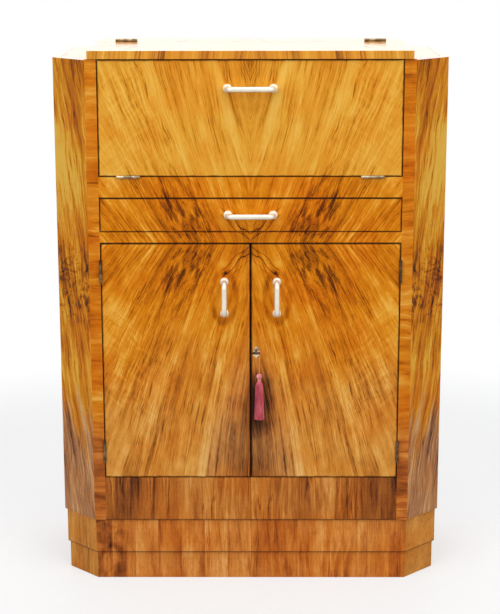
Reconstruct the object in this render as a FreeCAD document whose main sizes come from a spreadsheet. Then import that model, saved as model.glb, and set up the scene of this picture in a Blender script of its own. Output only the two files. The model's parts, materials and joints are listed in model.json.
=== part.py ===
import FreeCAD, Part
import math
import os

import Sketcher
from FreeCAD import Placement, Rotation, Vector

# Bar cabinet in figured walnut: a square centre between two canted hollow wings, on a stepped plinth.
# X runs to the right, Y to the back and Z up. The origin lies on the floor, under the middle of the
# space that the cabinet takes with its handles. All lengths are millimetres, all angles degrees.
SIZES = {
    # Plan of the carcass
    "opening_width": 668.0,
    "stile_width": 25.5,
    "cant_run": 77.2,
    "body_depth": 376.0,
    "panel_thickness": 18.0,
    "inner_side_corner_gap": 2.0,
    "back_thickness": 9.0,
    # Heights, from the floor up
    "plinth_lower_height": 65.0,
    "plinth_upper_height": 81.0,
    "apron_height": 102.0,
    "cupboard_height": 548.0,
    "drawer_rail_height": 23.0,
    "drawer_opening_height": 78.0,
    "flap_rail_height": 45.0,
    "compartment_height": 257.0,
    "wing_top_drop": 2.0,
    # Stepped plinth
    "plinth_lower_inset": 10.0,
    "plinth_upper_inset": 5.0,
    "plinth_thickness": 18.0,
    # Boards inside
    "base_board_thickness": 12.0,
    "cupboard_floor_thickness": 12.0,
    "dust_board_thickness": 12.0,
    "compartment_floor_thickness": 16.0,
    "mirror_thickness": 4.0,
    "shelf_thickness": 14.0,
    "shelf_level": 262.0,
    "shelf_setback": 40.0,
    "shelf_play": 0.3,
    "batten_width": 12.0,
    "batten_height": 16.0,
    # Lid and the fixed strip behind it
    "lid_thickness": 18.0,
    "lid_overhang": 4.0,
    "lid_side_inset": 6.0,
    "rear_strip_depth": 115.0,
    "lid_swing_angle": 95.0,
    "edge_rounding": 0.8,
    # Flap, doors and drawer front
    "flap_swing_angle": 90.0,
    "meeting_gap": 3.0,
    "flap_top_gap": 2.0,
    "drawer_gap": 1.5,
    # Drawer box
    "drawer_back_space": 49.0,
    "drawer_side_height": 60.0,
    "drawer_side_thickness": 10.0,
    "drawer_side_play": 4.0,
    "drawer_running_gap": 0.3,
    "drawer_bottom_thickness": 5.0,
    "drawer_bottom_rise": 6.0,
    "drawer_groove_depth": 4.0,
    "runner_width": 20.0,
    # Butt hinges
    "hinge_length": 50.8,
    "hinge_standoff": 4.0,
    "knuckle_radius": 3.2,
    "knuckle_gap": 0.2,
    "leaf_thickness": 0.9,
    "leaf_gap": 0.2,
    "leaf_depth": 14.0,
    "hinge_pin_radius": 1.5,
    "hinge_pin_play": 0.05,
    "flap_hinge_inset": 66.0,
    "lid_hinge_inset": 66.5,
    "upper_door_hinge_drop": 65.0,
    "lower_door_hinge_rise": 64.0,
    # Quadrant stays of the flap and the lid
    "flap_stay_radius": 150.0,
    "lid_stay_radius": 120.0,
    "stay_width": 10.0,
    "stay_thickness": 3.0,
    "stay_wall_gap": 5.0,
    "stay_foot_length": 26.0,
    "stay_foot_width": 12.0,
    "stay_foot_thickness": 2.5,
    "stay_pin_radius": 3.0,
    "stay_pin_length": 9.0,
    "stay_tail": 4.0,
    "stay_play": 0.5,
    "guide_length": 8.0,
    "guide_height": 22.0,
    "guide_cheek": 3.0,
    "guide_gap": 1.0,
    "stay_slot_play": 2.0,
    # Bar handles
    "handle_bar_radius": 6.0,
    "handle_standoff": 27.0,
    "handle_bend": 11.0,
    "rosette_radius": 9.6,
    "rosette_thickness": 5.0,
    "rosette_rounding": 2.4,
    "wide_handle_centres": 100.0,
    "door_handle_centres": 72.0,
    "flap_handle_drop": 63.0,
    "door_handle_drop": 125.0,
    "door_handle_offset": 58.6,
    # Lock of the right door
    "key_offset": 12.0,
    "key_level": 300.0,
    "key_shaft_radius": 1.8,
    "keyhole_radius": 2.4,
    "keyhole_slot_width": 2.8,
    "keyhole_slot_depth": 9.0,
    "escutcheon_width": 15.0,
    "escutcheon_height": 30.0,
    "escutcheon_thickness": 1.2,
    "escutcheon_drop": 3.0,
    "key_bow_distance": 19.0,
    "key_bow_radius": 9.0,
    "key_bow_width": 3.5,
    "key_bow_thickness": 2.4,
    "key_collar_radius": 3.2,
    "key_collar_length": 2.0,
    "key_bit_radius": 7.0,
    "key_bit_length": 6.0,
    "key_bit_thickness": 2.0,
    "key_end_gap": 2.0,
    "lock_case_depth": 15.0,
    "lock_wall": 1.5,
    "lock_space_below_bit": 2.5,
    "lock_space_above_bolt": 3.5,
    "lock_space_behind_bolt": 6.5,
    "lock_edge_gap": 1.2,
    "lock_bolt_length": 29.0,
    "lock_bolt_height": 8.0,
    "lock_bolt_thickness": 5.0,
    "lock_bolt_rise": 14.0,
    "lock_bolt_play": 0.3,
    "keep_width": 12.0,
    "keep_margin": 4.0,
    # Barrel bolt of the left door
    "door_bolt_offset": 18.0,
    "door_bolt_radius": 3.0,
    "door_bolt_play": 0.1,
    "door_bolt_length": 88.0,
    "door_bolt_top_gap": 1.0,
    "door_bolt_plate_thickness": 1.5,
    "door_bolt_plate_width": 20.0,
    "door_bolt_plate_length": 84.0,
    "door_bolt_loop_width": 12.0,
    "door_bolt_loop_depth": 9.5,
    "door_bolt_loop_length": 10.0,
    "door_bolt_loop_margin": 8.0,
    "door_bolt_knob_radius": 3.5,
    "door_bolt_knob_length": 12.0,
    "door_bolt_socket_play": 1.6,
    # Wooden stops
    "stop_thickness": 10.0,
    "stop_width": 34.0,
    "stop_height": 12.0,
    "stop_offset": 140.0,
    "flap_stop_drop": 30.0,
    # Tassel on the key
    "cord_radius": 0.8,
    "cord_loop_play": 0.28,
    "cord_length": 44.5,
    "tassel_head_radius": 6.8,
    "tassel_neck_radius": 4.2,
    "tassel_neck_length": 7.0,
    "tassel_skirt_length": 90.0,
    "tassel_skirt_top_radius": 6.6,
    "tassel_skirt_bottom_radius": 11.5,
}

# Right half of the escutcheon's outline, from its top point to its bottom point:
# shares of half the width and of half the height.
ESCUTCHEON_SHARES = [
    (0.0, 1.0),
    (0.20, 0.74),
    (0.46, 0.60),
    (0.94, 0.56),
    (0.66, 0.28),
    (0.74, 0.0),
    (0.66, -0.28),
    (0.94, -0.56),
    (0.46, -0.60),
    (0.20, -0.74),
    (0.0, -1.0),
]
# The knuckles of a hinge belong to its two leaves in turn
KNUCKLE_COUNT = 5
FIXED_KNUCKLES = range(0, KNUCKLE_COUNT, 2)
MOVING_KNUCKLES = range(1, KNUCKLE_COUNT, 2)

doc = FreeCAD.newDocument("BarCabinet")
sheet = doc.addObject("Spreadsheet::Sheet", "Sizes")
for row, (alias, number) in enumerate(SIZES.items(), start=1):
    sheet.set(f"A{row}", alias)
    sheet.set(f"B{row}", str(number))
    sheet.setAlias(f"B{row}", alias)
doc.recompute()


class Formula:
    """A number together with the formula on the sheet's cells that gives it."""

    def __init__(self, text, value):
        self.text = text
        self.value = value

    @staticmethod
    def of(other):
        return other if isinstance(other, Formula) else Formula(repr(other), other)

    def join(self, sign, other, value):
        return Formula(f"({self.text} {sign} {other.text})", value)

    def __add__(self, other):
        other = Formula.of(other)
        return self.join("+", other, self.value + other.value)

    def __sub__(self, other):
        other = Formula.of(other)
        return self.join("-", other, self.value - other.value)

    def __mul__(self, other):
        other = Formula.of(other)
        return self.join("*", other, self.value * other.value)

    def __rmul__(self, other):
        return Formula.of(other) * self

    def __truediv__(self, other):
        other = Formula.of(other)
        return self.join("/", other, self.value / other.value)

    def __neg__(self):
        return Formula(f"(-1 * {self.text})", -self.value)


def size(alias):
    return Formula(f"Sizes.{alias}", SIZES[alias])


def angle(alias):
    return Formula(f"(Sizes.{alias} * 1 deg)", SIZES[alias])


def root(formula):
    return Formula(f"sqrt({formula.text})", math.sqrt(formula.value))


def arc_sine(formula):
    return Formula(f"asin({formula.text})", math.degrees(math.asin(formula.value)))


def sine(formula):
    return Formula(f"sin({formula.text})", math.sin(math.radians(formula.value)))


def cosine(formula):
    return Formula(f"cos({formula.text})", math.cos(math.radians(formula.value)))


ZERO = Formula.of(0)
# How far a mitre between a straight and a canted panel steps sideways for each unit of thickness
MITRE = Formula("(sqrt(2) - 1)", math.sqrt(2) - 1)

# Places that many pieces share
HANDLE_REACH = size("handle_standoff") + size("handle_bar_radius")
FRONT = -((size("body_depth") - HANDLE_REACH) / 2)
BACK = FRONT + size("body_depth")
BACK_INSIDE = BACK - size("back_thickness")
BEHIND_FRONT = FRONT + size("panel_thickness")
HALF_OPENING = size("opening_width") / 2
ARRIS = HALF_OPENING + size("stile_width")
HALF_WIDTH = ARRIS + size("cant_run")
INNER_SIDE_FACE = ARRIS - MITRE * size("panel_thickness") - size("inner_side_corner_gap")
BOARD_GAP = 2 * size("leaf_thickness") + size("leaf_gap")

PLINTH_STEP = size("plinth_lower_height")
BODY_BOTTOM = PLINTH_STEP + size("plinth_upper_height")
BASE_TOP = BODY_BOTTOM + size("base_board_thickness")
CUPBOARD_FLOOR = BODY_BOTTOM + size("apron_height")
CUPBOARD_TOP = CUPBOARD_FLOOR + size("cupboard_height")
DRAWER_SILL = CUPBOARD_TOP + size("drawer_rail_height")
DRAWER_TOP = DRAWER_SILL + size("drawer_opening_height")
COMPARTMENT_FLOOR = DRAWER_TOP + size("flap_rail_height")
CARCASS_TOP = COMPARTMENT_FLOOR + size("compartment_height")
WING_TOP = CARCASS_TOP - size("wing_top_drop")
WING_TOP_UNDERSIDE = WING_TOP - size("panel_thickness")
LID_TOP = CARCASS_TOP + size("lid_thickness")
DUST_BOARD_TOP = CUPBOARD_TOP + size("dust_board_thickness")

HINGE_Y = FRONT - size("hinge_standoff")
FLAP_AXIS_Z = COMPARTMENT_FLOOR + BOARD_GAP / 2
FLAP_BOTTOM = COMPARTMENT_FLOOR + BOARD_GAP
HALF_LID = ARRIS - size("lid_side_inset")
LID_AXIS_Y = BACK - size("rear_strip_depth") - BOARD_GAP / 2
LID_AXIS_Z = LID_TOP + size("hinge_standoff")
DOOR_AXIS_X = HALF_OPENING - BOARD_GAP / 2
DOOR_EDGE = HALF_OPENING - BOARD_GAP
KEY_Z = CUPBOARD_FLOOR + size("key_level")
DRAWER_BACK = BACK_INSIDE - size("drawer_back_space")

nodes = []


def bind(feature, **formulas):
    """Bind properties; a double underscore in a name stands for the dot of a sub-property."""
    for name, formula in formulas.items():
        feature.setExpression(name.replace("__", "."), Formula.of(formula).text)


def place(feature, x=ZERO, y=ZERO, z=ZERO, turn=None):
    feature.Placement = Placement(Vector(), turn or Rotation())
    bind(feature, Placement__Base__x=x, Placement__Base__y=y, Placement__Base__z=z)
    return feature


def node(feature, name):
    """Name a finished sub-part; the name is also its file's name."""
    feature.Label = name
    nodes.append(feature)
    return feature


def turned(x_axis, y_axis):
    """Rotation that takes a local frame's X and Y to the two directions given."""
    along = Vector(*x_axis)
    across = Vector(*y_axis)
    return Rotation(along, across, along.cross(across), "XYZ")


def box(name, start, extent):
    """Rectangular block from its lowest corner and its three lengths."""
    block = doc.addObject("Part::Box", name)
    bind(block, Length=extent[0], Width=extent[1], Height=extent[2])
    return place(block, *start)


def block_between(name, low, high):
    """Rectangular block between two opposite corners."""
    return box(name, low, [top - bottom for bottom, top in zip(low, high)])


def cylinder(name, radius, height, start, turn=None):
    rod = doc.addObject("Part::Cylinder", name)
    bind(rod, Radius=radius, Height=height)
    return place(rod, *start, turn=turn)


def cut(name, base, tool):
    feature = doc.addObject("Part::Cut", name)
    feature.Base = base
    feature.Tool = tool
    return feature


def fuse(name, shapes):
    feature = doc.addObject("Part::MultiFuse", name)
    feature.Shapes = shapes
    feature.Refine = True
    return feature


def group(name, members):
    """Several separate solids that share one node."""
    feature = doc.addObject("Part::Compound", name + "_group")
    feature.Links = members
    return node(feature, name)


def mirrored(feature):
    """The same piece on the other side of the cabinet's middle plane."""
    copy = doc.addObject("Part::Mirroring", feature.Name + "_mirrored")
    copy.Source = feature
    copy.Normal = Vector(1, 0, 0)
    copy.Base = Vector(0, 0, 0)
    return copy


def mirrored_pair(name, feature):
    return group(name, [feature, mirrored(feature)])


ALONG_X = turned((0, 1, 0), (0, 0, 1))
ALONG_Y = turned((0, 0, 1), (1, 0, 0))


# Sketched bodies

def new_body(name):
    return doc.addObject("PartDesign::Body", name + "_body")


def origin_plane(body, role):
    return next(part for part in body.Origin.OriginFeatures if part.Role == role)


def new_sketch(body, name, role):
    sketch = body.newObject("Sketcher::SketchObject", name)
    sketch.AttachmentSupport = [(origin_plane(body, role), "")]
    sketch.MapMode = "FlatFace"
    return sketch


def fix_point(sketch, geometry, point, x, y, tag):
    """Hold a point of the sketch at two formulas, measured from the sketch's origin."""
    for kind, formula in (("DistanceX", x), ("DistanceY", y)):
        index = sketch.addConstraint(Sketcher.Constraint(kind, -1, 1, geometry, point, formula.value))
        sketch.renameConstraint(index, f"{kind}_{tag}")
        sketch.setExpression(f"Constraints.{kind}_{tag}", formula.text)


def fix_radius(sketch, geometry, radius, tag):
    index = sketch.addConstraint(Sketcher.Constraint("Radius", geometry, radius.value))
    sketch.renameConstraint(index, f"Radius_{tag}")
    sketch.setExpression(f"Constraints.Radius_{tag}", radius.text)


def draw_polygon(sketch, corners):
    points = [Vector(x.value, y.value, 0) for x, y in corners]
    count = len(points)
    for index, point in enumerate(points):
        sketch.addGeometry(Part.LineSegment(point, points[(index + 1) % count]), False)
    for index in range(count):
        following = (index + 1) % count
        sketch.addConstraint(Sketcher.Constraint("Coincident", index, 2, following, 1))
    for index, (x, y) in enumerate(corners):
        fix_point(sketch, index, 1, x, y, f"corner{index}")


def draw_circle(sketch, x, y, radius, tag):
    centre = Vector(x.value, y.value, 0)
    geometry = sketch.addGeometry(Part.Circle(centre, Vector(0, 0, 1), radius.value), False)
    fix_point(sketch, geometry, 3, x, y, tag)
    fix_radius(sketch, geometry, radius, tag)


def pad(body, name, sketch, length, backwards=False):
    feature = body.newObject("PartDesign::Pad", name)
    feature.Profile = sketch
    feature.Reversed = backwards
    bind(feature, Length=length)
    return feature


def pocket_through(body, name, sketch):
    feature = body.newObject("PartDesign::Pocket", name)
    feature.Profile = sketch
    feature.Type = "ThroughAll"
    feature.Midplane = True
    return feature


def fillet(body, name, base, radius, edges):
    feature = body.newObject("PartDesign::Fillet", name)
    feature.Base = (base, edges)
    bind(feature, Radius=radius)
    return feature


def upright(name, corners, bottom, top):
    """Piece with a plan outline, standing between two levels."""
    body = new_body(name)
    sketch = new_sketch(body, name + "_plan", "XY_Plane")
    draw_polygon(sketch, corners)
    pad(body, name + "_pad", sketch, top - bottom)
    return place(body, z=bottom)


def softened_board(name, low, high):
    """Board with slightly rounded edges between two opposite corners; its body stands at the low one."""
    body = new_body(name)
    sketch = new_sketch(body, name + "_plan", "XY_Plane")
    width, depth, height = [top - bottom for bottom, top in zip(low, high)]
    draw_polygon(sketch, [(ZERO, ZERO), (width, ZERO), (width, depth), (ZERO, depth)])
    slab = pad(body, name + "_pad", sketch, height)
    place(body, *low)
    doc.recompute()
    edges = [f"Edge{index + 1}" for index in range(len(slab.Shape.Edges))]
    fillet(body, name + "_edges", slab, size("edge_rounding"), edges)
    return body


def mirror_corners(corners):
    return [(-x, y) for x, y in reversed(corners)]


# Plan of the canted outline

def front_corner(inset):
    """Corner between the front and the right-hand cant, on an outline set in by a distance."""
    return ARRIS - MITRE * inset, FRONT + inset


def side_corner(inset):
    """Corner between the right-hand cant and the right-hand side."""
    return HALF_WIDTH - inset, FRONT + size("cant_run") + MITRE * inset


def front_plan(inset, thickness):
    right = [front_corner(inset), front_corner(inset + thickness)]
    return mirror_corners(right) + right


def cant_plan(inset, thickness):
    return [
        front_corner(inset),
        side_corner(inset),
        side_corner(inset + thickness),
        front_corner(inset + thickness),
    ]


def side_plan(inset, thickness):
    outside = HALF_WIDTH - inset
    return [
        side_corner(inset),
        (outside, BACK),
        (outside - thickness, BACK),
        side_corner(inset + thickness),
    ]


def make_plinth():
    """Two tiers of mitred boards, each set in from what stands on it."""
    thickness = size("plinth_thickness")
    backs = []
    tiers = (
        ("lower", size("plinth_lower_inset"), ZERO, PLINTH_STEP),
        ("upper", size("plinth_upper_inset"), PLINTH_STEP, BODY_BOTTOM),
    )
    for tier, inset, bottom, top in tiers:
        name = f"plinth_{tier}"
        node(upright(name + "_front", front_plan(inset, thickness), bottom, top), name + "_front")
        cant = upright(name + "_cant", cant_plan(inset, thickness), bottom, top)
        mirrored_pair(name + "_cants", cant)
        side = upright(name + "_side", side_plan(inset, thickness), bottom, top)
        mirrored_pair(name + "_sides", side)
        inside = HALF_WIDTH - inset - thickness
        back_low = (-inside, BACK - thickness, bottom)
        backs.append(block_between(name + "_back", back_low, (inside, BACK, top)))
    group("plinth_backs", backs)


def make_carcass():
    thickness = size("panel_thickness")
    wing_inside = HALF_WIDTH - thickness
    right_half = [front_corner(thickness), side_corner(thickness), (wing_inside, BACK_INSIDE)]
    base_plan = mirror_corners(right_half) + right_half
    node(upright("base_board", base_plan, BODY_BOTTOM, BASE_TOP), "base_board")

    stile = [
        (HALF_OPENING, FRONT),
        front_corner(ZERO),
        front_corner(thickness),
        (HALF_OPENING, BEHIND_FRONT),
    ]
    sides = (("left", mirror_corners), ("right", list))
    for side, turn_over in sides:
        node(upright(side + "_stile", turn_over(stile), BODY_BOTTOM, CARCASS_TOP), side + "_stile")
        name = side + "_canted_panel"
        node(upright(name, turn_over(cant_plan(ZERO, thickness)), BODY_BOTTOM, WING_TOP), name)
    outer = upright("outer_side", side_plan(ZERO, thickness), BODY_BOTTOM, WING_TOP)
    mirrored_pair("outer_sides", outer)

    inner_low = (HALF_OPENING, BEHIND_FRONT, BASE_TOP)
    inner_high = (INNER_SIDE_FACE, BACK_INSIDE, CARCASS_TOP)
    mirrored_pair("inner_sides", block_between("inner_side", inner_low, inner_high))

    wing_top = [
        (INNER_SIDE_FACE, BEHIND_FRONT),
        front_corner(thickness),
        side_corner(thickness),
        (wing_inside, BACK),
        (INNER_SIDE_FACE, BACK),
    ]
    mirrored_pair("wing_tops", upright("wing_top", wing_top, WING_TOP_UNDERSIDE, WING_TOP))

    back = new_body("back_panel")
    outline = new_sketch(back, "back_outline", "XZ_Plane")
    right_edge = [
        (wing_inside, BODY_BOTTOM),
        (wing_inside, WING_TOP_UNDERSIDE),
        (INNER_SIDE_FACE, WING_TOP_UNDERSIDE),
        (INNER_SIDE_FACE, CARCASS_TOP),
    ]
    draw_polygon(outline, right_edge + mirror_corners(right_edge))
    pad(back, "back_pad", outline, size("back_thickness"))
    node(place(back, y=BACK), "back_panel")


def opening_board(name, low_y, high_y, low_z, high_z):
    """Board that spans the opening between the inner sides."""
    return block_between(name, (-HALF_OPENING, low_y, low_z), (HALF_OPENING, high_y, high_z))


def make_fixed_boards():
    node(opening_board("apron", FRONT, BEHIND_FRONT, BODY_BOTTOM, CUPBOARD_FLOOR), "apron")
    node(opening_board("drawer_rail", FRONT, BEHIND_FRONT, CUPBOARD_TOP, DRAWER_SILL), "drawer_rail")
    node(opening_board("flap_rail", FRONT, BEHIND_FRONT, DRAWER_TOP, COMPARTMENT_FLOOR), "flap_rail")
    floor_underside = CUPBOARD_FLOOR - size("cupboard_floor_thickness")
    floor = opening_board("cupboard_floor", BEHIND_FRONT, BACK_INSIDE, floor_underside, CUPBOARD_FLOOR)
    node(floor, "cupboard_floor")

    dust = opening_board("dust_board_blank", BEHIND_FRONT, BACK_INSIDE, CUPBOARD_TOP, DUST_BOARD_TOP)
    socket_radius = size("door_bolt_radius") + size("door_bolt_socket_play")
    socket_start = (-size("door_bolt_offset"), door_bolt_y(), CUPBOARD_TOP)
    socket = cylinder("door_bolt_socket", socket_radius, size("dust_board_thickness"), socket_start)
    node(cut("dust_board_cut", dust, socket), "dust_board")

    underside = COMPARTMENT_FLOOR - size("compartment_floor_thickness")
    blank = opening_board("floor_blank", BEHIND_FRONT, BACK_INSIDE, underside, COMPARTMENT_FLOOR)
    slot_half = size("stay_width") / 2 + size("stay_slot_play")
    slot_middle = HINGE_Y + size("flap_stay_radius")
    slot_width = size("stay_wall_gap") + size("stay_thickness") + size("stay_pin_length") / 2
    slot_low = (HALF_OPENING - slot_width, slot_middle - slot_half, underside)
    slot_high = (HALF_OPENING, slot_middle + slot_half, COMPARTMENT_FLOOR)
    slot = block_between("stay_slot", slot_low, slot_high)
    slotted = cut("floor_right_slot", blank, slot)
    node(cut("floor_slots", slotted, mirrored(slot)), "compartment_floor")

    mirror_front = BACK_INSIDE - size("mirror_thickness")
    mirror_top = CARCASS_TOP - size("flap_top_gap")
    glass = opening_board("mirror", mirror_front, BACK_INSIDE, COMPARTMENT_FLOOR, mirror_top)
    node(glass, "compartment_mirror")

    shelf_underside = CUPBOARD_FLOOR + size("shelf_level")
    shelf_half = HALF_OPENING - size("shelf_play")
    shelf_front = FRONT + size("shelf_setback")
    shelf_low = (-shelf_half, shelf_front, shelf_underside)
    shelf_high = (shelf_half, BACK_INSIDE - size("shelf_play"), shelf_underside + size("shelf_thickness"))
    node(block_between("shelf", shelf_low, shelf_high), "cupboard_shelf")
    batten_low = (HALF_OPENING - size("batten_width"), shelf_front, shelf_underside - size("batten_height"))
    batten_high = (HALF_OPENING, BACK_INSIDE, shelf_underside)
    mirrored_pair("shelf_battens", block_between("shelf_batten", batten_low, batten_high))

    runner_low = (HALF_OPENING - size("runner_width"), BEHIND_FRONT, DUST_BOARD_TOP)
    runner_high = (HALF_OPENING, BACK_INSIDE, drawer_box_bottom() - size("drawer_running_gap"))
    mirrored_pair("drawer_runners", block_between("drawer_runner", runner_low, runner_high))

    strip_low = (-HALF_LID, LID_AXIS_Y + BOARD_GAP / 2, CARCASS_TOP)
    strip_high = (HALF_LID, BACK, LID_TOP)
    node(softened_board("top_strip", strip_low, strip_high), "rear_top_strip")


def make_stops():
    """Small blocks that the flap, the doors and the drawer come to rest against."""
    deep = size("stop_thickness")
    flap_high = WING_TOP - size("flap_stop_drop")
    flap_stop_low = (HALF_OPENING - deep, BEHIND_FRONT, flap_high - size("stop_width"))
    flap_stop = block_between("flap_stop", flap_stop_low, (HALF_OPENING, BEHIND_FRONT + deep, flap_high))
    door_stop_low = (size("stop_offset"), BEHIND_FRONT, CUPBOARD_TOP - size("stop_height"))
    door_stop = box("door_stop", door_stop_low, (size("stop_width"), deep, size("stop_height")))
    drawer_stop_low = (size("stop_offset"), DRAWER_BACK, DUST_BOARD_TOP)
    drawer_stop = box("drawer_stop", drawer_stop_low, (size("stop_width"), deep, size("stop_width")))
    stops = [flap_stop, door_stop, drawer_stop]
    group("stop_blocks", stops + [mirrored(stop) for stop in stops])


# Butt hinges: the local X axis is the pin, local Y runs into the wood, the moving leaf lies on the +Z side

def hinge_leaf(name, knuckles, moving, start, turn):
    length = size("hinge_length")
    pitch = length / KNUCKLE_COUNT
    leaf = size("leaf_thickness")
    leaf_low = size("leaf_gap") / 2 if moving else -(size("leaf_gap") / 2 + leaf)
    plate_start = size("knuckle_radius") + size("knuckle_gap")
    plate_depth = size("hinge_standoff") + size("leaf_depth") - plate_start
    plate = box(name + "_plate", (-(length / 2), plate_start, leaf_low), (length, plate_depth, leaf))
    pieces = [plate]
    for knuckle in knuckles:
        left = pitch * knuckle - length / 2 + size("knuckle_gap") / 2
        span = pitch - size("knuckle_gap")
        barrel_name = f"{name}_knuckle{knuckle}"
        barrel = cylinder(barrel_name, size("knuckle_radius"), span, (left, ZERO, ZERO), ALONG_X)
        tongue = box(f"{name}_tongue{knuckle}", (left, ZERO, leaf_low), (span, plate_start, leaf))
        pieces += [barrel, tongue]
    bore_radius = size("hinge_pin_radius") + size("hinge_pin_play")
    bore = cylinder(name + "_bore", bore_radius, length, (-(length / 2), ZERO, ZERO), ALONG_X)
    return place(cut(name, fuse(name + "_blank", pieces), bore), *start, turn=turn)


def hinge_pin(name, start, turn):
    length = size("hinge_length")
    pin = cylinder(name + "_rod", size("hinge_pin_radius"), length, (-(length / 2), ZERO, ZERO), ALONG_X)
    holder = doc.addObject("Part::Compound", name)
    holder.Links = [pin]
    return place(holder, *start, turn=turn)


def make_hinges():
    flap_turn = turned((1, 0, 0), (0, 1, 0))
    lid_turn = turned((-1, 0, 0), (0, 0, -1))
    left_turn = turned((0, 0, -1), (0, 1, 0))
    right_turn = turned((0, 0, 1), (0, 1, 0))
    lower_level = CUPBOARD_FLOOR + size("lower_door_hinge_rise")
    levels = [lower_level, CUPBOARD_TOP - size("upper_door_hinge_drop")]
    flap_offset = HALF_OPENING - size("flap_hinge_inset")
    flap_places = [(side * flap_offset, HINGE_Y, FLAP_AXIS_Z) for side in (-1, 1)]
    lid_offset = HALF_LID - size("lid_hinge_inset")
    lid_places = [(side * lid_offset, LID_AXIS_Y, LID_AXIS_Z) for side in (-1, 1)]
    left_places = [(-DOOR_AXIS_X, HINGE_Y, level) for level in levels]
    right_places = [(DOOR_AXIS_X, HINGE_Y, level) for level in levels]
    sets = (
        ("flap", flap_turn, flap_places, "rail"),
        ("lid", lid_turn, lid_places, "strip"),
        ("left_door", left_turn, left_places, "stile"),
        ("right_door", right_turn, right_places, "stile"),
    )
    pins = []
    stile_leaves = []
    for owner, turn, places, carrier in sets:
        fixed = []
        moving = []
        for index, start in enumerate(places):
            name = f"{owner}_hinge{index}"
            fixed.append(hinge_leaf(name + "_fixed", FIXED_KNUCKLES, False, start, turn))
            moving.append(hinge_leaf(name + "_moving", MOVING_KNUCKLES, True, start, turn))
            pins.append(hinge_pin(name + "_pin", start, turn))
        group(owner + "_hinge_leaves", moving)
        if carrier == "stile":
            stile_leaves += fixed
        else:
            group(f"{owner}_hinge_{carrier}_leaves", fixed)
    group("door_hinge_stile_leaves", stile_leaves)
    group("hinge_pins", pins)


# Quadrant stays: local Z is the hinge axis, pointing at the wall, where local Z is zero.
# The arc starts along local X and swings towards local Y, through the guide on the wall.

def stay_ring(name, radius, half_width, low, high):
    outer = cylinder(name + "_outer", radius + half_width, high - low, (ZERO, ZERO, low))
    inner = cylinder(name + "_inner", radius - half_width, high - low, (ZERO, ZERO, low))
    return outer, cut(name, outer, inner)


def make_stay(owner, radius, swing, board_thickness, start, turn):
    """Arc with a foot on the swinging board and a stop pin, and the guide that it slides through."""
    name = owner + "_stay"
    half_width = size("stay_width") / 2
    high = -size("stay_wall_gap")
    low = high - size("stay_thickness")
    face = size("hinge_standoff") + board_thickness
    guide_start = face + size("stay_foot_thickness") + size("guide_gap")
    guide_end = guide_start + size("guide_length")
    pin_depth = guide_end + size("stay_pin_radius") + size("guide_gap")
    pin_angle = swing + arc_sine(pin_depth / radius)
    tail_angle = arc_sine(size("stay_tail") / radius)

    outer, arc = stay_ring(name + "_arc", radius, half_width, low, high)
    bind(outer, Angle=pin_angle + tail_angle)
    reach = radius + half_width
    waste_low = (ZERO, ZERO, low)
    waste = block_between(name + "_waste", waste_low, (reach, face, high))
    foot_start = root(radius * radius - face * face) - size("stay_foot_length") / 2
    foot_low = (foot_start, face, (low + high) / 2 - size("stay_foot_width") / 2)
    foot_extent = (size("stay_foot_length"), size("stay_foot_thickness"), size("stay_foot_width"))
    foot = box(name + "_foot", foot_low, foot_extent)
    pin_low = (low + high) / 2 - size("stay_pin_length") / 2
    pin_start = (radius * cosine(pin_angle), radius * sine(pin_angle), pin_low)
    pin = cylinder(name + "_pin", size("stay_pin_radius"), size("stay_pin_length"), pin_start)
    trimmed = cut(name + "_trimmed", arc, waste)
    stay = place(fuse(name, [trimmed, foot, pin]), *start, turn=turn)

    play = size("stay_play")
    groove = stay_ring(name + "_groove", radius, half_width + play, low - play, high + play)[1]
    middle = (guide_start + guide_end) / 2
    guide_middle = root(radius * radius - middle * middle)
    half_height = size("guide_height") / 2
    guide_low = (guide_middle - half_height, guide_start, low - play - size("guide_cheek"))
    guide_high = (guide_middle + half_height, guide_end, ZERO)
    guide_block = block_between(name + "_guide_block", guide_low, guide_high)
    guide = place(cut(name + "_guide", guide_block, groove), *start, turn=turn)
    return stay, guide


def make_stays():
    flap_start = (-HALF_OPENING, HINGE_Y, FLAP_AXIS_Z)
    flap_turn = turned((0, 0, 1), (0, 1, 0))
    flap_swing = angle("flap_swing_angle")
    flap_stay, flap_guide = make_stay(
        "flap", size("flap_stay_radius"), flap_swing, size("panel_thickness"), flap_start, flap_turn
    )
    lid_start = (HALF_OPENING, LID_AXIS_Y, LID_AXIS_Z)
    lid_turn = turned((0, -1, 0), (0, 0, -1))
    lid_swing = angle("lid_swing_angle")
    lid_stay, lid_guide = make_stay(
        "lid", size("lid_stay_radius"), lid_swing, size("lid_thickness"), lid_start, lid_turn
    )
    mirrored_pair("flap_stays", flap_stay)
    mirrored_pair("lid_stays", lid_stay)
    group("stay_guides", [flap_guide, mirrored(flap_guide), lid_guide, mirrored(lid_guide)])


# Bar handles: the bar lies along local X and stands off towards local -Y

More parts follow.
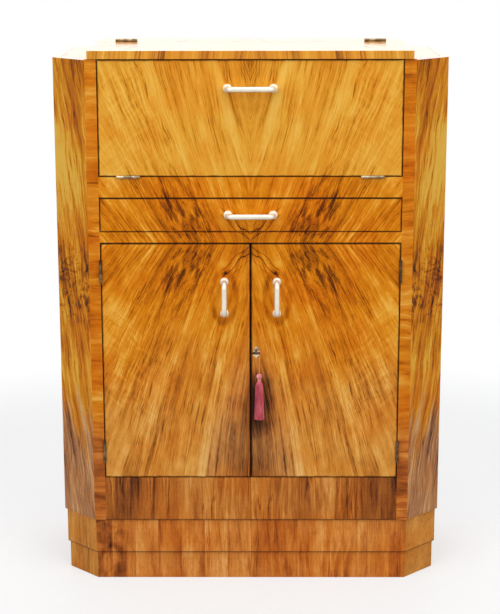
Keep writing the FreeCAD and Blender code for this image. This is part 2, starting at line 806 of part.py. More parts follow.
def bar_handle(name, centres, start, turn=None):
    body = new_body(name)
    half = centres / 2
    bend = size("handle_bend")
    off = size("handle_standoff")

    bases = new_sketch(body, name + "_bases", "XZ_Plane")
    draw_circle(bases, -half, ZERO, size("rosette_radius"), "left")
    draw_circle(bases, half, ZERO, size("rosette_radius"), "right")
    rosettes = pad(body, name + "_rosettes", bases, size("rosette_thickness"))
    doc.recompute()
    rims = [
        f"Edge{index + 1}"
        for index, edge in enumerate(rosettes.Shape.Edges)
        if isinstance(edge.Curve, Part.Circle) and edge.CenterOfMass.y < -SIZES["rosette_thickness"] / 2
    ]
    fillet(body, name + "_rims", rosettes, size("rosette_rounding"), rims)

    path = new_sketch(body, name + "_path", "XY_Plane")
    left = -half.value
    straight = off.value - bend.value
    right_angle = math.pi / 2
    path.addGeometry(Part.LineSegment(Vector(left, 0, 0), Vector(left, -straight, 0)), False)
    left_circle = Part.Circle(Vector(left + bend.value, -straight, 0), Vector(0, 0, 1), bend.value)
    path.addGeometry(Part.ArcOfCircle(left_circle, 2 * right_angle, 3 * right_angle), False)
    bar_ends = Vector(left + bend.value, -off.value, 0), Vector(-left - bend.value, -off.value, 0)
    path.addGeometry(Part.LineSegment(*bar_ends), False)
    right_circle = Part.Circle(Vector(-left - bend.value, -straight, 0), Vector(0, 0, 1), bend.value)
    path.addGeometry(Part.ArcOfCircle(right_circle, 3 * right_angle, 4 * right_angle), False)
    path.addGeometry(Part.LineSegment(Vector(-left, -straight, 0), Vector(-left, 0, 0)), False)
    path.addConstraint(Sketcher.Constraint("Tangent", 0, 2, 1, 1))
    path.addConstraint(Sketcher.Constraint("Tangent", 1, 2, 2, 1))
    path.addConstraint(Sketcher.Constraint("Tangent", 2, 2, 3, 1))
    path.addConstraint(Sketcher.Constraint("Tangent", 3, 2, 4, 1))
    fix_point(path, 0, 1, -half, ZERO, "left_foot")
    fix_point(path, 4, 2, half, ZERO, "right_foot")
    fix_point(path, 2, 1, -half + bend, -off, "bar_start")
    fix_radius(path, 1, bend, "left_bend")
    fix_radius(path, 3, bend, "right_bend")

    section = new_sketch(body, name + "_section", "XZ_Plane")
    draw_circle(section, -half, ZERO, size("handle_bar_radius"), "bar")
    pipe = body.newObject("PartDesign::AdditivePipe", name + "_bar")
    pipe.Profile = section
    pipe.Spine = (path, [f"Edge{index + 1}" for index in range(5)])
    body.Tip = pipe
    return place(body, *start, turn=turn)


def make_lid():
    low = (-HALF_LID, FRONT - size("lid_overhang"), CARCASS_TOP)
    high = (HALF_LID, LID_AXIS_Y - BOARD_GAP / 2, LID_TOP)
    node(softened_board("lid", low, high), "lid_panel")


def make_flap():
    low = (-DOOR_EDGE, FRONT, FLAP_BOTTOM)
    high = (DOOR_EDGE, BEHIND_FRONT, CARCASS_TOP - size("flap_top_gap"))
    node(softened_board("flap", low, high), "flap_panel")
    handle_start = (ZERO, FRONT, CARCASS_TOP - size("flap_handle_drop"))
    node(bar_handle("flap_handle", size("wide_handle_centres"), handle_start), "flap_handle")


def drawer_box_bottom():
    return DRAWER_SILL + size("drawer_gap")


def make_drawer():
    gap = size("drawer_gap")
    front_low = (-(HALF_OPENING - gap), FRONT, DRAWER_SILL + gap)
    front_high = (HALF_OPENING - gap, BEHIND_FRONT, DRAWER_TOP - gap)
    node(softened_board("drawer_front", front_low, front_high), "drawer_front")

    bottom = drawer_box_bottom()
    top = bottom + size("drawer_side_height")
    outside = HALF_OPENING - size("drawer_side_play")
    inside = outside - size("drawer_side_thickness")
    back_start = DRAWER_BACK - size("drawer_side_thickness")
    panel_bottom = bottom + size("drawer_bottom_rise")
    panel_top = panel_bottom + size("drawer_bottom_thickness")
    groove_end = inside + size("drawer_groove_depth")

    side = block_between("drawer_side_blank", (inside, BEHIND_FRONT, bottom), (outside, DRAWER_BACK, top))
    groove_low = (inside, BEHIND_FRONT, panel_bottom)
    groove = block_between("drawer_groove", groove_low, (groove_end, back_start, panel_top))
    mirrored_pair("drawer_sides", cut("drawer_side", side, groove))
    rear = block_between("drawer_rear", (-inside, back_start, bottom), (inside, DRAWER_BACK, top))
    node(rear, "drawer_back")
    panel_low = (-groove_end, BEHIND_FRONT, panel_bottom)
    node(block_between("drawer_base", panel_low, (groove_end, back_start, panel_top)), "drawer_bottom")
    handle_start = (ZERO, FRONT, (DRAWER_SILL + DRAWER_TOP) / 2)
    node(bar_handle("drawer_handle", size("wide_handle_centres"), handle_start), "drawer_handle")


def draw_keyhole(body, name, x, z):
    """Round hole for the key's shaft, with a slot below it for the bit."""
    hole = new_sketch(body, name + "_hole", "XZ_Plane")
    draw_circle(hole, x, z, size("keyhole_radius"), "shaft")
    pocket_through(body, name + "_hole_cut", hole)
    slot = new_sketch(body, name + "_slot", "XZ_Plane")
    half = size("keyhole_slot_width") / 2
    bottom = z - size("keyhole_slot_depth")
    draw_polygon(slot, [(x - half, bottom), (x + half, bottom), (x + half, z), (x - half, z)])
    body.Tip = pocket_through(body, name + "_slot_cut", slot)


def make_doors():
    bottom = CUPBOARD_FLOOR + BOARD_GAP
    top = CUPBOARD_TOP - BOARD_GAP
    meeting = size("meeting_gap") / 2
    left = softened_board("left_door", (-DOOR_EDGE, FRONT, bottom), (-meeting, BEHIND_FRONT, top))
    node(left, "left_door_panel")
    right = softened_board("right_door", (meeting, FRONT, bottom), (DOOR_EDGE, BEHIND_FRONT, top))
    draw_keyhole(right, "right_door", size("key_offset") - meeting, KEY_Z - bottom)
    node(right, "right_door_panel")
    standing = turned((0, 0, -1), (0, 1, 0))
    for side, sign in (("left", -1), ("right", 1)):
        name = side + "_door_handle"
        start = (sign * size("door_handle_offset"), FRONT, CUPBOARD_TOP - size("door_handle_drop"))
        node(bar_handle(name, size("door_handle_centres"), start, standing), name)


def make_escutcheon():
    body = new_body("escutcheon")
    half_width = size("escutcheon_width") / 2
    half_height = size("escutcheon_height") / 2
    right_edge = [(half_width * across, half_height * up) for across, up in ESCUTCHEON_SHARES]
    outline = new_sketch(body, "escutcheon_outline", "XZ_Plane")
    draw_polygon(outline, right_edge + mirror_corners(right_edge[1:-1]))
    pad(body, "escutcheon_pad", outline, size("escutcheon_thickness"))
    draw_keyhole(body, "escutcheon", ZERO, size("escutcheon_drop"))
    place(body, size("key_offset"), FRONT, KEY_Z - size("escutcheon_drop"))
    node(body, "escutcheon")


def lock_bolt_y():
    """Front face of the lock bolt, midway in the depth of the case."""
    return BEHIND_FRONT + (size("lock_case_depth") - size("lock_bolt_thickness")) / 2


def make_lock():
    wall = size("lock_wall")
    left = size("meeting_gap") / 2 + size("lock_edge_gap")
    bolt_bottom = KEY_Z + size("lock_bolt_rise") - size("lock_bolt_height") / 2
    inside_right = left + size("lock_bolt_length") + size("lock_space_behind_bolt")
    inside_bottom = KEY_Z - size("key_bit_radius") - size("lock_space_below_bit")
    inside_top = bolt_bottom + size("lock_bolt_height") + size("lock_space_above_bolt")
    back = BEHIND_FRONT + size("lock_case_depth")
    shell_high = (inside_right + wall, back, inside_top + wall)
    shell = block_between("lock_shell", (left, BEHIND_FRONT, inside_bottom - wall), shell_high)
    hollow_high = (inside_right, back - wall, inside_top)
    hollow = block_between("lock_hollow", (left + wall, BEHIND_FRONT, inside_bottom), hollow_high)
    play = size("lock_bolt_play")
    window_low = (left, lock_bolt_y() - play, bolt_bottom - play)
    window_extent = (wall, size("lock_bolt_thickness") + 2 * play, size("lock_bolt_height") + 2 * play)
    window = box("lock_window", window_low, window_extent)
    hollowed = cut("lock_hollowed", shell, hollow)
    node(cut("lock_case_cut", hollowed, window), "lock_case")

    bolt_extent = (size("lock_bolt_length"), size("lock_bolt_thickness"), size("lock_bolt_height"))
    node(box("bolt_bar", (left, lock_bolt_y(), bolt_bottom), bolt_extent), "lock_bolt")

    margin = size("keep_margin")
    keep_right = -left
    keep_left = keep_right - size("keep_width")
    keep_bottom = bolt_bottom - margin
    keep_top = bolt_bottom + size("lock_bolt_height") + margin
    keep_back = lock_bolt_y() + size("lock_bolt_thickness") + margin
    keep_low = (keep_left, BEHIND_FRONT, keep_bottom)
    keep_block = block_between("keep_block", keep_low, (keep_right, keep_back, keep_top))
    mouth_low = (keep_left + wall, BEHIND_FRONT + wall, keep_bottom + wall)
    mouth = block_between("keep_mouth", mouth_low, (keep_right, keep_back - wall, keep_top - wall))
    node(cut("keep_cut", keep_block, mouth), "lock_keep")


def make_key():
    """Key with a flat ring for a bow, which lies level at rest."""
    bow_y = FRONT - size("key_bow_distance")
    bow_bottom = KEY_Z - size("key_bow_thickness") / 2
    bow_start = (size("key_offset"), bow_y, bow_bottom)
    disc = cylinder("bow_disc", size("key_bow_radius"), size("key_bow_thickness"), bow_start)
    eye_radius = size("key_bow_radius") - size("key_bow_width")
    eye = cylinder("bow_eye", eye_radius, size("key_bow_thickness"), bow_start)
    ring = cut("bow_ring", disc, eye)
    shaft_front = bow_y + size("key_bow_radius") - size("key_bow_width") / 2
    shaft_back = BEHIND_FRONT + size("lock_case_depth") - size("lock_wall") - size("key_end_gap")
    shaft_length = shaft_back - shaft_front
    shaft_start = (size("key_offset"), shaft_front, KEY_Z)
    shaft = cylinder("key_shaft", size("key_shaft_radius"), shaft_length, shaft_start, ALONG_Y)
    collar_length = size("key_collar_length")
    collar_start = (size("key_offset"), FRONT - size("escutcheon_thickness") - 2 * collar_length, KEY_Z)
    collar = cylinder("key_collar", size("key_collar_radius"), collar_length, collar_start, ALONG_Y)
    bit_extent = (size("key_bit_radius"), size("key_bit_length"), size("key_bit_thickness"))
    bit_low = (size("key_offset"), shaft_back - bit_extent[1], KEY_Z - bit_extent[2] / 2)
    bit = box("key_bit", bit_low, bit_extent)
    node(fuse("key_blank", [ring, shaft, collar, bit]), "key")


def door_bolt_y():
    """Axis of the barrel bolt behind the left door's inner face."""
    return BEHIND_FRONT + size("door_bolt_plate_thickness") + size("door_bolt_loop_depth") / 2


def make_door_bolt():
    x = -size("door_bolt_offset")
    door_top = CUPBOARD_TOP - BOARD_GAP
    rod_top = door_top - size("door_bolt_top_gap")
    rod_bottom = rod_top - size("door_bolt_length")
    plate_top = rod_top - size("door_bolt_loop_margin") / 2
    plate_bottom = plate_top - size("door_bolt_plate_length")
    plate_half = size("door_bolt_plate_width") / 2
    loop_half = size("door_bolt_loop_width") / 2
    loop_front = BEHIND_FRONT + size("door_bolt_plate_thickness")
    loop_back = loop_front + size("door_bolt_loop_depth")
    plate_low = (x - plate_half, BEHIND_FRONT, plate_bottom)
    plate = block_between("bolt_plate", plate_low, (x + plate_half, loop_front, plate_top))
    loop_length = size("door_bolt_loop_length")
    margin = size("door_bolt_loop_margin")
    loops = []
    for name, loop_bottom in (
        ("bolt_lower_loop", plate_bottom + margin),
        ("bolt_upper_loop", plate_top - margin - loop_length),
    ):
        low = (x - loop_half, loop_front, loop_bottom)
        loops.append(block_between(name, low, (x + loop_half, loop_back, loop_bottom + loop_length)))
    bore_radius = size("door_bolt_radius") + size("door_bolt_play")
    bore = cylinder("bolt_bore", bore_radius, plate_top - plate_bottom, (x, door_bolt_y(), plate_bottom))
    node(cut("bolt_case_cut", fuse("bolt_case_blank", [plate] + loops), bore), "door_bolt_case")

    rod_start = (x, door_bolt_y(), rod_bottom)
    rod = cylinder("bolt_rod", size("door_bolt_radius"), size("door_bolt_length"), rod_start)
    knob_start = (x, door_bolt_y(), (plate_bottom + plate_top) / 2)
    knob_length = size("door_bolt_knob_length")
    knob = cylinder("bolt_knob", size("door_bolt_knob_radius"), knob_length, knob_start, ALONG_Y)
    node(fuse("bolt_rod_blank", [rod, knob]), "door_bolt_rod")


def make_tassel():
    """Cord looped round the bow's rim, with a silk tassel hanging from it."""
    rim_half_width = size("key_bow_width") / 2
    rim_half_height = size("key_bow_thickness") / 2
    rim_reach = root(rim_half_width * rim_half_width + rim_half_height * rim_half_height)
    loop_radius = rim_reach + size("cord_loop_play") + size("cord_radius")
    x = size("key_offset") + size("key_bow_radius") - rim_half_width
    y = FRONT - size("key_bow_distance")
    loop = doc.addObject("Part::Torus", "cord_loop")
    bind(loop, Radius1=loop_radius, Radius2=size("cord_radius"))
    place(loop, x, y, KEY_Z, ALONG_Y)
    loop_bottom = KEY_Z - loop_radius
    cord_end = loop_bottom - size("cord_length")
    strand = cylinder("cord_strand", size("cord_radius"), size("cord_length"), (x, y, cord_end))
    node(fuse("cord_run", [loop, strand]), "tassel_cord")

    head = doc.addObject("Part::Sphere", "tassel_ball")
    bind(head, Radius=size("tassel_head_radius"))
    head_centre = cord_end - size("tassel_head_radius")
    place(head, x, y, head_centre)
    skirt_top = head_centre - size("tassel_head_radius") / 2 - size("tassel_neck_length")
    neck_length = head_centre - skirt_top
    neck = cylinder("tassel_neck", size("tassel_neck_radius"), neck_length, (x, y, skirt_top))
    skirt = doc.addObject("Part::Cone", "tassel_skirt")
    bind(
        skirt,
        Radius1=size("tassel_skirt_bottom_radius"),
        Radius2=size("tassel_skirt_top_radius"),
        Height=size("tassel_skirt_length"),
    )
    place(skirt, x, y, skirt_top - size("tassel_skirt_length"))
    node(fuse("tassel_form", [head, neck, skirt]), "tassel")


def check_and_write():
    doc.recompute()
    for feature in doc.Objects:
        if "Invalid" in feature.State or "Error" in feature.State:
            raise RuntimeError(f"{feature.Name} failed: {feature.State}")
    os.makedirs("parts", exist_ok=True)
    for feature in nodes:
        shape = feature.Shape
        if shape.isNull() or not shape.isValid() or shape.Volume <= 0:
            raise RuntimeError(f"{feature.Label} has no sound shape")
    for feature in nodes:
        feature.Shape.exportStep(f"parts/{feature.Label}.step")
        print(f"{feature.Label}: {len(feature.Shape.Solids)} solids, {feature.Shape.Volume / 1000:.1f} cm3")
    print(len(nodes), "sub-parts")


make_plinth()
make_carcass()
make_fixed_boards()
make_stops()
make_hinges()
make_stays()
make_lid()
make_flap()
make_drawer()
make_doors()
make_escutcheon()
make_lock()
make_key()
make_door_bolt()
make_tassel()
check_and_write()
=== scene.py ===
import json
import math
import random

import bmesh
import bpy
from mathutils import Matrix, Vector

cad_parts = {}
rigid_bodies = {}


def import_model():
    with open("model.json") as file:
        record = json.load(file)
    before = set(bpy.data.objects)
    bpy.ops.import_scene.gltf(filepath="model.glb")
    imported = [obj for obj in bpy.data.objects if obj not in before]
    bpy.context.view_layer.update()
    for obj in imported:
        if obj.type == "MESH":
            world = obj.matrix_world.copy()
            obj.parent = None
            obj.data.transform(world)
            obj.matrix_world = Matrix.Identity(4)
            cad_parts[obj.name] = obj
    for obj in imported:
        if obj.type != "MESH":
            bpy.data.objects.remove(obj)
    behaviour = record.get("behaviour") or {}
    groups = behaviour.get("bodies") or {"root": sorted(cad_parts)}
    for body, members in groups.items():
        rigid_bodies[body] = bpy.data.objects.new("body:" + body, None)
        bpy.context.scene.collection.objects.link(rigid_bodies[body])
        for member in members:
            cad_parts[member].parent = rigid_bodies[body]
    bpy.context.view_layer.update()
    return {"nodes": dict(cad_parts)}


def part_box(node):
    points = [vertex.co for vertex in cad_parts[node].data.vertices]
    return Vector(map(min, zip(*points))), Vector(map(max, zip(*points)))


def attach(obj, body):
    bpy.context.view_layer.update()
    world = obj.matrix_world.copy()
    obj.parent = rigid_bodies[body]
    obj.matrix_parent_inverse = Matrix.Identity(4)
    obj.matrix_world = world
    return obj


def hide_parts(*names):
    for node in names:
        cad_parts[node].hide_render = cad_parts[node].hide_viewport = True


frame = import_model()
nodes = frame["nodes"]

# Camera: the focal length is in pixels of the photograph, and the place comes from the front's corners
PHOTO_HEIGHT = 614
FOCAL_PIXELS = 1643
SENSOR_LENGTH = 36
CAMERA_PLACE = (0.0159, -3.7425, 1.494)
CAMERA_DROP_DEGREES = 13.306
CAMERA_TURN_DEGREES = 0.26
CAMERA_ROLL_DEGREES = 0.08

# Places on the cabinet, from the frame
TIER_LOW, TIER_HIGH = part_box("plinth_upper_front")
SIDE_LOW, SIDE_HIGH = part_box("drawer_sides")
HANDLE_LOW, HANDLE_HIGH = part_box("right_door_handle")
HANDLE_SIDE = (HANDLE_LOW.x + HANDLE_HIGH.x) / 2
HANDLE_LEVEL = (HANDLE_LOW.z + HANDLE_HIGH.z) / 2
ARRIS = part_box("right_canted_panel")[0].x
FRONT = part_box("flap_panel")[0].y
# The veneers above and below this level are mirror images of each other
MATCH_LEVEL = (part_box("drawer_rail")[0].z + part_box("left_door_panel")[1].z) / 2


def clear_default_scene():
    for thing in list(bpy.data.objects):
        if thing.name in ("Cube", "Light", "Camera"):
            bpy.data.objects.remove(thing)


def show(thing):
    bpy.context.scene.collection.objects.link(thing)
    return thing


def make_camera():
    data = bpy.data.cameras.new("camera")
    data.sensor_width = SENSOR_LENGTH
    data.lens = FOCAL_PIXELS * SENSOR_LENGTH / PHOTO_HEIGHT
    camera = show(bpy.data.objects.new("camera", data))
    camera.location = CAMERA_PLACE
    camera.rotation_euler = (
        math.radians(90 - CAMERA_DROP_DEGREES),
        math.radians(CAMERA_ROLL_DEGREES),
        math.radians(CAMERA_TURN_DEGREES),
    )
    bpy.context.scene.camera = camera


# Mesh building
ORIGIN = Vector((0, 0, 0))
SHARP_DEGREES = 35


def piece(name, bm, body, material, hidden=()):
    """An object of a mesh under construction, which rides on a body and may stand for CAD nodes."""
    mesh = bpy.data.meshes.new(name)
    bmesh.ops.recalc_face_normals(bm, faces=bm.faces)
    bm.to_mesh(mesh)
    bm.free()
    mesh.materials.append(material)
    mesh.shade_smooth()
    mesh.set_sharp_from_angle(angle=math.radians(SHARP_DEGREES))
    thing = show(bpy.data.objects.new(name, mesh))
    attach(thing, body)
    if hidden:
        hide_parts(*hidden)
    return thing


def at(x, y, z):
    return Matrix.Translation((x, y, z))


def full_turn(steps):
    """Evenly spaced angles."""
    return [math.tau * step / steps for step in range(steps)]


def around(middle, reach, angle, level):
    """Point at a level, round an upright line through the middle."""
    return Vector((middle.x + reach * math.cos(angle), middle.y + reach * math.sin(angle), level))


def bridge(bm, lower, upper):
    """Faces between two closed rings of as many points."""
    for step in range(len(lower)):
        after = (step + 1) % len(lower)
        bm.faces.new((lower[step], lower[after], upper[after], upper[step]))


def turned(bm, profile, place, steps=32):
    """Turned form: radii and heights along the place's local Z. A zero radius closes an end."""
    rings = []
    for radius, height in profile:
        angles = full_turn(steps if radius else 1)
        rings.append([bm.verts.new(place @ around(ORIGIN, radius, angle, height)) for angle in angles])
    for lower, upper in zip(rings, rings[1:]):
        if len(lower) == len(upper):
            bridge(bm, lower, upper)
            continue
        for step in range(steps):
            after = (step + 1) % steps
            if len(lower) == 1:
                bm.faces.new((lower[0], upper[after], upper[step]))
            else:
                bm.faces.new((lower[step], lower[after], upper[0]))


def frames_along(points, closed=False):
    """Two cross directions at each point of a line, without sudden turns."""
    count = len(points)
    frames = []
    side = None
    for index, point in enumerate(points):
        before = points[index - 1] if index or closed else point
        after = points[(index + 1) % count] if index < count - 1 or closed else point
        ahead = (after - before).normalized()
        if side is None:
            side = ahead.orthogonal()
        side = (side - ahead * side.dot(ahead)).normalized()
        frames.append((side, ahead.cross(side)))
    return frames


def beside(point, frame_here, angle, reach):
    """Point at an angle and a distance from a line's point."""
    side, up = frame_here
    return point + (side * math.cos(angle) + up * math.sin(angle)) * reach


def tube(bm, points, radius, sides, closed=False):
    """Round tube along points."""
    rings = [
        [bm.verts.new(beside(point, here, angle, radius)) for angle in full_turn(sides)]
        for point, here in zip(points, frames_along(points, closed))
    ]
    for lower, upper in zip(rings, rings[1:]):
        bridge(bm, lower, upper)
    if closed:
        bridge(bm, rings[-1], rings[0])
    else:
        bm.faces.new(rings[0][::-1])
        bm.faces.new(rings[-1])


# Tassel on its cord, hung from the rim of the key's bow
CORD_TOP = Vector((0.01925, -0.1905, 0.5448))
CORD_LENGTH = 0.0445
CORD_DIAMETER = 0.0016
CORD_STEPS = 48
LOOP_RADIUS = 0.0032
LOOP_TURNS = 5
LOOP_STEPS = 90
PLIES = 2
PLY_SIDES = 8
PLY_RADIUS = CORD_DIAMETER * 0.28
PLY_REACH = CORD_DIAMETER * 0.24
PLY_PITCH = 0.0042
HEAD_RADIUS = 0.0068
HEAD_MIDDLE = Vector((CORD_TOP.x, CORD_TOP.y, CORD_TOP.z - CORD_LENGTH - HEAD_RADIUS))
HEAD_THREADS = 34
HEAD_THREAD_RADIUS = 0.00042
HEAD_THREAD_REACH = HEAD_RADIUS * 0.93
HEAD_POLE_DEGREES = 84
HEAD_STEP_DEGREES = 10.3
HEAD_STEPS = 14
HEAD_TWIST = 0.45
NECK_LENGTH = 0.007
NECK_CORE = ((0, 0), (0.0036, 0), (0.0036, NECK_LENGTH + 0.002), (0, NECK_LENGTH + 0.002))
NECK_WRAPS = 7
NECK_STEPS = 36
NECK_REACH = 0.0035
NECK_BULGE = 0.00035
NECK_THREAD_RADIUS = 0.00055
SKIRT_TOP = HEAD_MIDDLE.z - HEAD_RADIUS / 2 - NECK_LENGTH
SKIRT_LENGTH = 0.090
SKIRT_TOP_RADIUS = 0.0086
SKIRT_RADIUS = 0.0115
SKIRT_CORE_TOP = ((0, 0.0), (0.0034, 0.0), (0.0058, -0.003))
SKIRT_CORE_STEPS = 8
# Threads in each ring of the skirt, and how far the ring lies inside the skirt's radius
SKIRT_RINGS = ((64, 0.0005), (50, 0.0013))
SKIRT_STEPS = 12
SKIRT_GATHER = 0.12
SKIRT_THREAD_RADIUS = 0.00045


def silk(name, colours):
    """Fine floss that shines along its threads."""
    shader = Shader(name)
    strand = shader.noise(shader.space(700, 700, 12), 4.0, 0.65)
    cloud = shader.noise(shader.space(90, 90, 30), 2.0)
    tone = strand * 0.55 + cloud * 0.45
    shader.set(base_color=shader.ramp(tone.smooth(0.3, 0.7), colours), roughness=0.42)
    shader.set(sheen_weight=0.35, sheen_roughness=0.4, sheen_tint=SILK_SHEEN, specular_ior_level=0.35)
    shader.bump(strand, 0.0001, 0.5)
    return shader.material


def twisted(bm, points, pitch, closed=False):
    """Plies of thread twisted round a line."""
    runs = [0.0]
    for before, after in zip(points, points[1:]):
        runs.append(runs[-1] + (after - before).length)
    frames = frames_along(points, closed)
    for ply in range(PLIES):
        line = [
            beside(point, here, math.tau * (run / pitch + ply / PLIES), PLY_REACH)
            for point, run, here in zip(points, runs, frames)
        ]
        tube(bm, line, PLY_RADIUS, PLY_SIDES, closed)


def cord_line():
    """Points along the cord's route, from its top down."""
    drop = Vector((0, 0, CORD_LENGTH))
    route = [CORD_TOP, CORD_TOP - drop / 2, CORD_TOP - drop]
    curve = bpy.data.curves.new("cord_route", "CURVE")
    curve.dimensions = "3D"
    spline = curve.splines.new("NURBS")
    spline.points.add(len(route) - 1)
    for point, place in zip(spline.points, route):
        point.co = (*place, 1)
    spline.order_u = 3
    spline.use_endpoint_u = True
    spline.resolution_u = CORD_STEPS
    carrier = bpy.data.objects.new("cord_route", curve)
    line = [Vector(vertex.co) for vertex in bpy.data.meshes.new_from_object(carrier).vertices]
    bpy.data.objects.remove(carrier)
    return line


def make_loop(material):
    """Cord round the rim of the key's bow."""
    centre = CORD_TOP + Vector((0, 0, LOOP_RADIUS))
    turns = full_turn(LOOP_STEPS)
    ring = [centre + Vector((math.sin(turn), 0, -math.cos(turn))) * LOOP_RADIUS for turn in turns]
    bm = bmesh.new()
    twisted(bm, ring, math.tau * LOOP_RADIUS / LOOP_TURNS, closed=True)
    return piece("tassel_cord_loop", bm, "tassel", material)


def make_head(material):
    """Ball wound with floss from pole to pole."""
    bm = bmesh.new()
    ball = Matrix.Translation(HEAD_MIDDLE)
    bmesh.ops.create_uvsphere(bm, u_segments=32, v_segments=20, radius=HEAD_RADIUS * 0.94, matrix=ball)
    for start in full_turn(HEAD_THREADS):
        run = []
        for step in range(HEAD_STEPS + 1):
            rise = math.radians(HEAD_POLE_DEGREES - step * HEAD_STEP_DEGREES)
            turn = start + HEAD_TWIST * step / HEAD_STEPS
            level = HEAD_MIDDLE.z + HEAD_THREAD_REACH * math.sin(rise)
            run.append(around(HEAD_MIDDLE, HEAD_THREAD_REACH * math.cos(rise), turn, level))
        tube(bm, run, HEAD_THREAD_RADIUS, 6)
    return piece("tassel_head", bm, "tassel", material)


def make_neck(material):
    """Neck bound with fine cord."""
    bm = bmesh.new()
    turned(bm, NECK_CORE, at(HEAD_MIDDLE.x, HEAD_MIDDLE.y, SKIRT_TOP), 24)
    for index in range(NECK_WRAPS):
        share = index / (NECK_WRAPS - 1)
        level = SKIRT_TOP + 0.0004 + (NECK_LENGTH - 0.0006) * share
        reach = NECK_REACH + NECK_BULGE * math.sin(math.pi * share)
        circle = [around(HEAD_MIDDLE, reach, angle, level) for angle in full_turn(NECK_STEPS)]
        tube(bm, circle, NECK_THREAD_RADIUS, 7, closed=True)
    return piece("tassel_neck", bm, "tassel", material)


def make_skirt(material):
    """Core with two rings of loose floss over it."""
    bm = bmesh.new()
    profile = list(SKIRT_CORE_TOP)
    for step in range(SKIRT_CORE_STEPS + 1):
        share = step / SKIRT_CORE_STEPS
        profile.append((0.0056 + (SKIRT_RADIUS - 0.007) * share, -0.006 - (SKIRT_LENGTH - 0.010) * share))
    profile.append((0, 0.006 - SKIRT_LENGTH))
    turned(bm, profile[::-1], at(HEAD_MIDDLE.x, HEAD_MIDDLE.y, SKIRT_TOP), 40)
    wander = random.Random(7)
    for ring_index, (count, inset) in enumerate(SKIRT_RINGS):
        for index in range(count):
            angle = math.tau * (index + 0.5 * ring_index) / count + wander.uniform(-0.02, 0.02)
            sway = wander.uniform(-0.05, 0.05)
            drop = SKIRT_LENGTH - wander.uniform(0.0002, 0.0026)
            foot = SKIRT_RADIUS - inset - wander.uniform(0, 0.0007)
            top = SKIRT_TOP_RADIUS - inset
            run = []
            for step in range(SKIRT_STEPS + 1):
                share = step / SKIRT_STEPS
                reach = top + (foot - top) * share
                if share < SKIRT_GATHER:
                    gather = math.sin(math.pi / 2 * share / SKIRT_GATHER)
                    reach = NECK_CORE[1][0] + (reach - NECK_CORE[1][0]) * gather
                turn = angle + sway * share * share + 0.012 * math.sin(7 * share + index)
                run.append(around(HEAD_MIDDLE, reach, turn, SKIRT_TOP - drop * share))
            tube(bm, run, SKIRT_THREAD_RADIUS, 5)
    piece("tassel_skirt", bm, "tassel", material, ["tassel"])


def make_tassel():
    rose = silk("silk_rose", palette((140, 40, 58), (206, 80, 96), (240, 136, 140)))
    # Head and neck take a paler copy of the skirt's silk: painted highlight
    pink = silk("silk_pink", palette((206, 110, 112), (238, 150, 148), (250, 182, 170)))
    peach = silk("silk_peach", palette((226, 128, 84), (248, 164, 114), (252, 196, 150)))
    line = cord_line()
    bm = bmesh.new()
    twisted(bm, line, PLY_PITCH)
    cord = piece("tassel_twisted_cord", bm, "tassel", peach, ["tassel_cord"])
    loop = make_loop(peach)
    head = make_head(pink)
    neck = make_neck(pink)
    make_skirt(rose)


# Bar handles: a round bar bent back into a turned rose at each end
BAR_RADIUS = 0.006
BAR_STAND_OFF = 0.027
BAR_BEND = 0.011
BEND_STEPS = 8
LEG_START = 0.003
WIDE_CENTRES = 0.100
DOOR_CENTRES = 0.072
ROSE_PROFILE = (
    (0.0, 0.0), (0.0094, 0.0), (0.0096, 0.0004), (0.0096, 0.0013), (0.0093, 0.0019), (0.0087, 0.0022),
    (0.0085, 0.0026), (0.0083, 0.0036), (0.0077, 0.0043), (0.0070, 0.0047), (0.0062, 0.0049), (0.0, 0.0050),
)
FACE_BACK = Matrix.Rotation(math.radians(-90), 4, "X")
FACE_FRONT = Matrix.Rotation(math.radians(90), 4, "X")
FACE_DOWN = Matrix.Rotation(math.radians(180), 4, "X")
STANDING = FACE_FRONT @ Matrix.Rotation(math.radians(90), 4, "Z")
# Body, distance between the roses and direction of each handle
HANDLES = {
    "flap_handle": ("flap", WIDE_CENTRES, FACE_FRONT),
    "drawer_handle": ("drawer", WIDE_CENTRES, FACE_FRONT),
    "left_door_handle": ("left_door", DOOR_CENTRES, STANDING),
    "right_door_handle": ("right_door", DOOR_CENTRES, STANDING),
}


def make_handle(node, material):
    """The bar lies along local X and stands off towards local Z."""
    body, centres, turn = HANDLES[node]
    low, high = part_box(node)
    middle = (low + high) / 2
    place = at(middle.x, FRONT, middle.z) @ turn
    half = centres / 2
    legs = []
    bm = bmesh.new()
    for sign in (-1, 1):
        turned(bm, ROSE_PROFILE, place @ at(sign * half, 0, 0), 48)
        leg = [Vector((sign * half, 0, LEG_START)), Vector((sign * half, 0, BAR_STAND_OFF - BAR_BEND))]
        for step in range(1, BEND_STEPS + 1):
            angle = math.pi / 2 * step / BEND_STEPS
            side = sign * (half - BAR_BEND * (1 - math.cos(angle)))
            leg.append(Vector((side, 0, BAR_STAND_OFF - BAR_BEND * (1 - math.sin(angle)))))
        legs.append(leg)
    tube(bm, [place @ point for point in legs[0] + legs[1][::-1]], BAR_RADIUS, 28)
    piece(node + "_polished", bm, body, material, [node])


# Screws and pins
HINGE_LENGTH = 0.0508
KNUCKLE_RADIUS = 0.0032
LEAF_GAP = 0.0001
# Moving body, direction of the pin and direction of the leaves into the joint
HINGES = (
    ("flap", (1, 0, 0), (0, 1, 0)),
    ("lid", (-1, 0, 0), (0, 0, -1)),
    ("left_door", (0, 0, -1), (0, 1, 0)),
    ("right_door", (0, 0, 1), (0, 1, 0)),
)
SCREW_RUN = 0.017
SCREW_ROWS = (0.0085, 0.0125, 0.0085)
SCREW_SINK = 0.0004
FLAT_HEAD = ((0, -0.0004), (0.0028, -0.0004), (0.0028, 0.0), (0.0026, 0.00003), (0, 0.00003))
# Size of the dark bar that paints the shadow inside a flat head's slot
FLAT_SLOT_SHADOW = (0.0045, 0.0006, 0.00009)
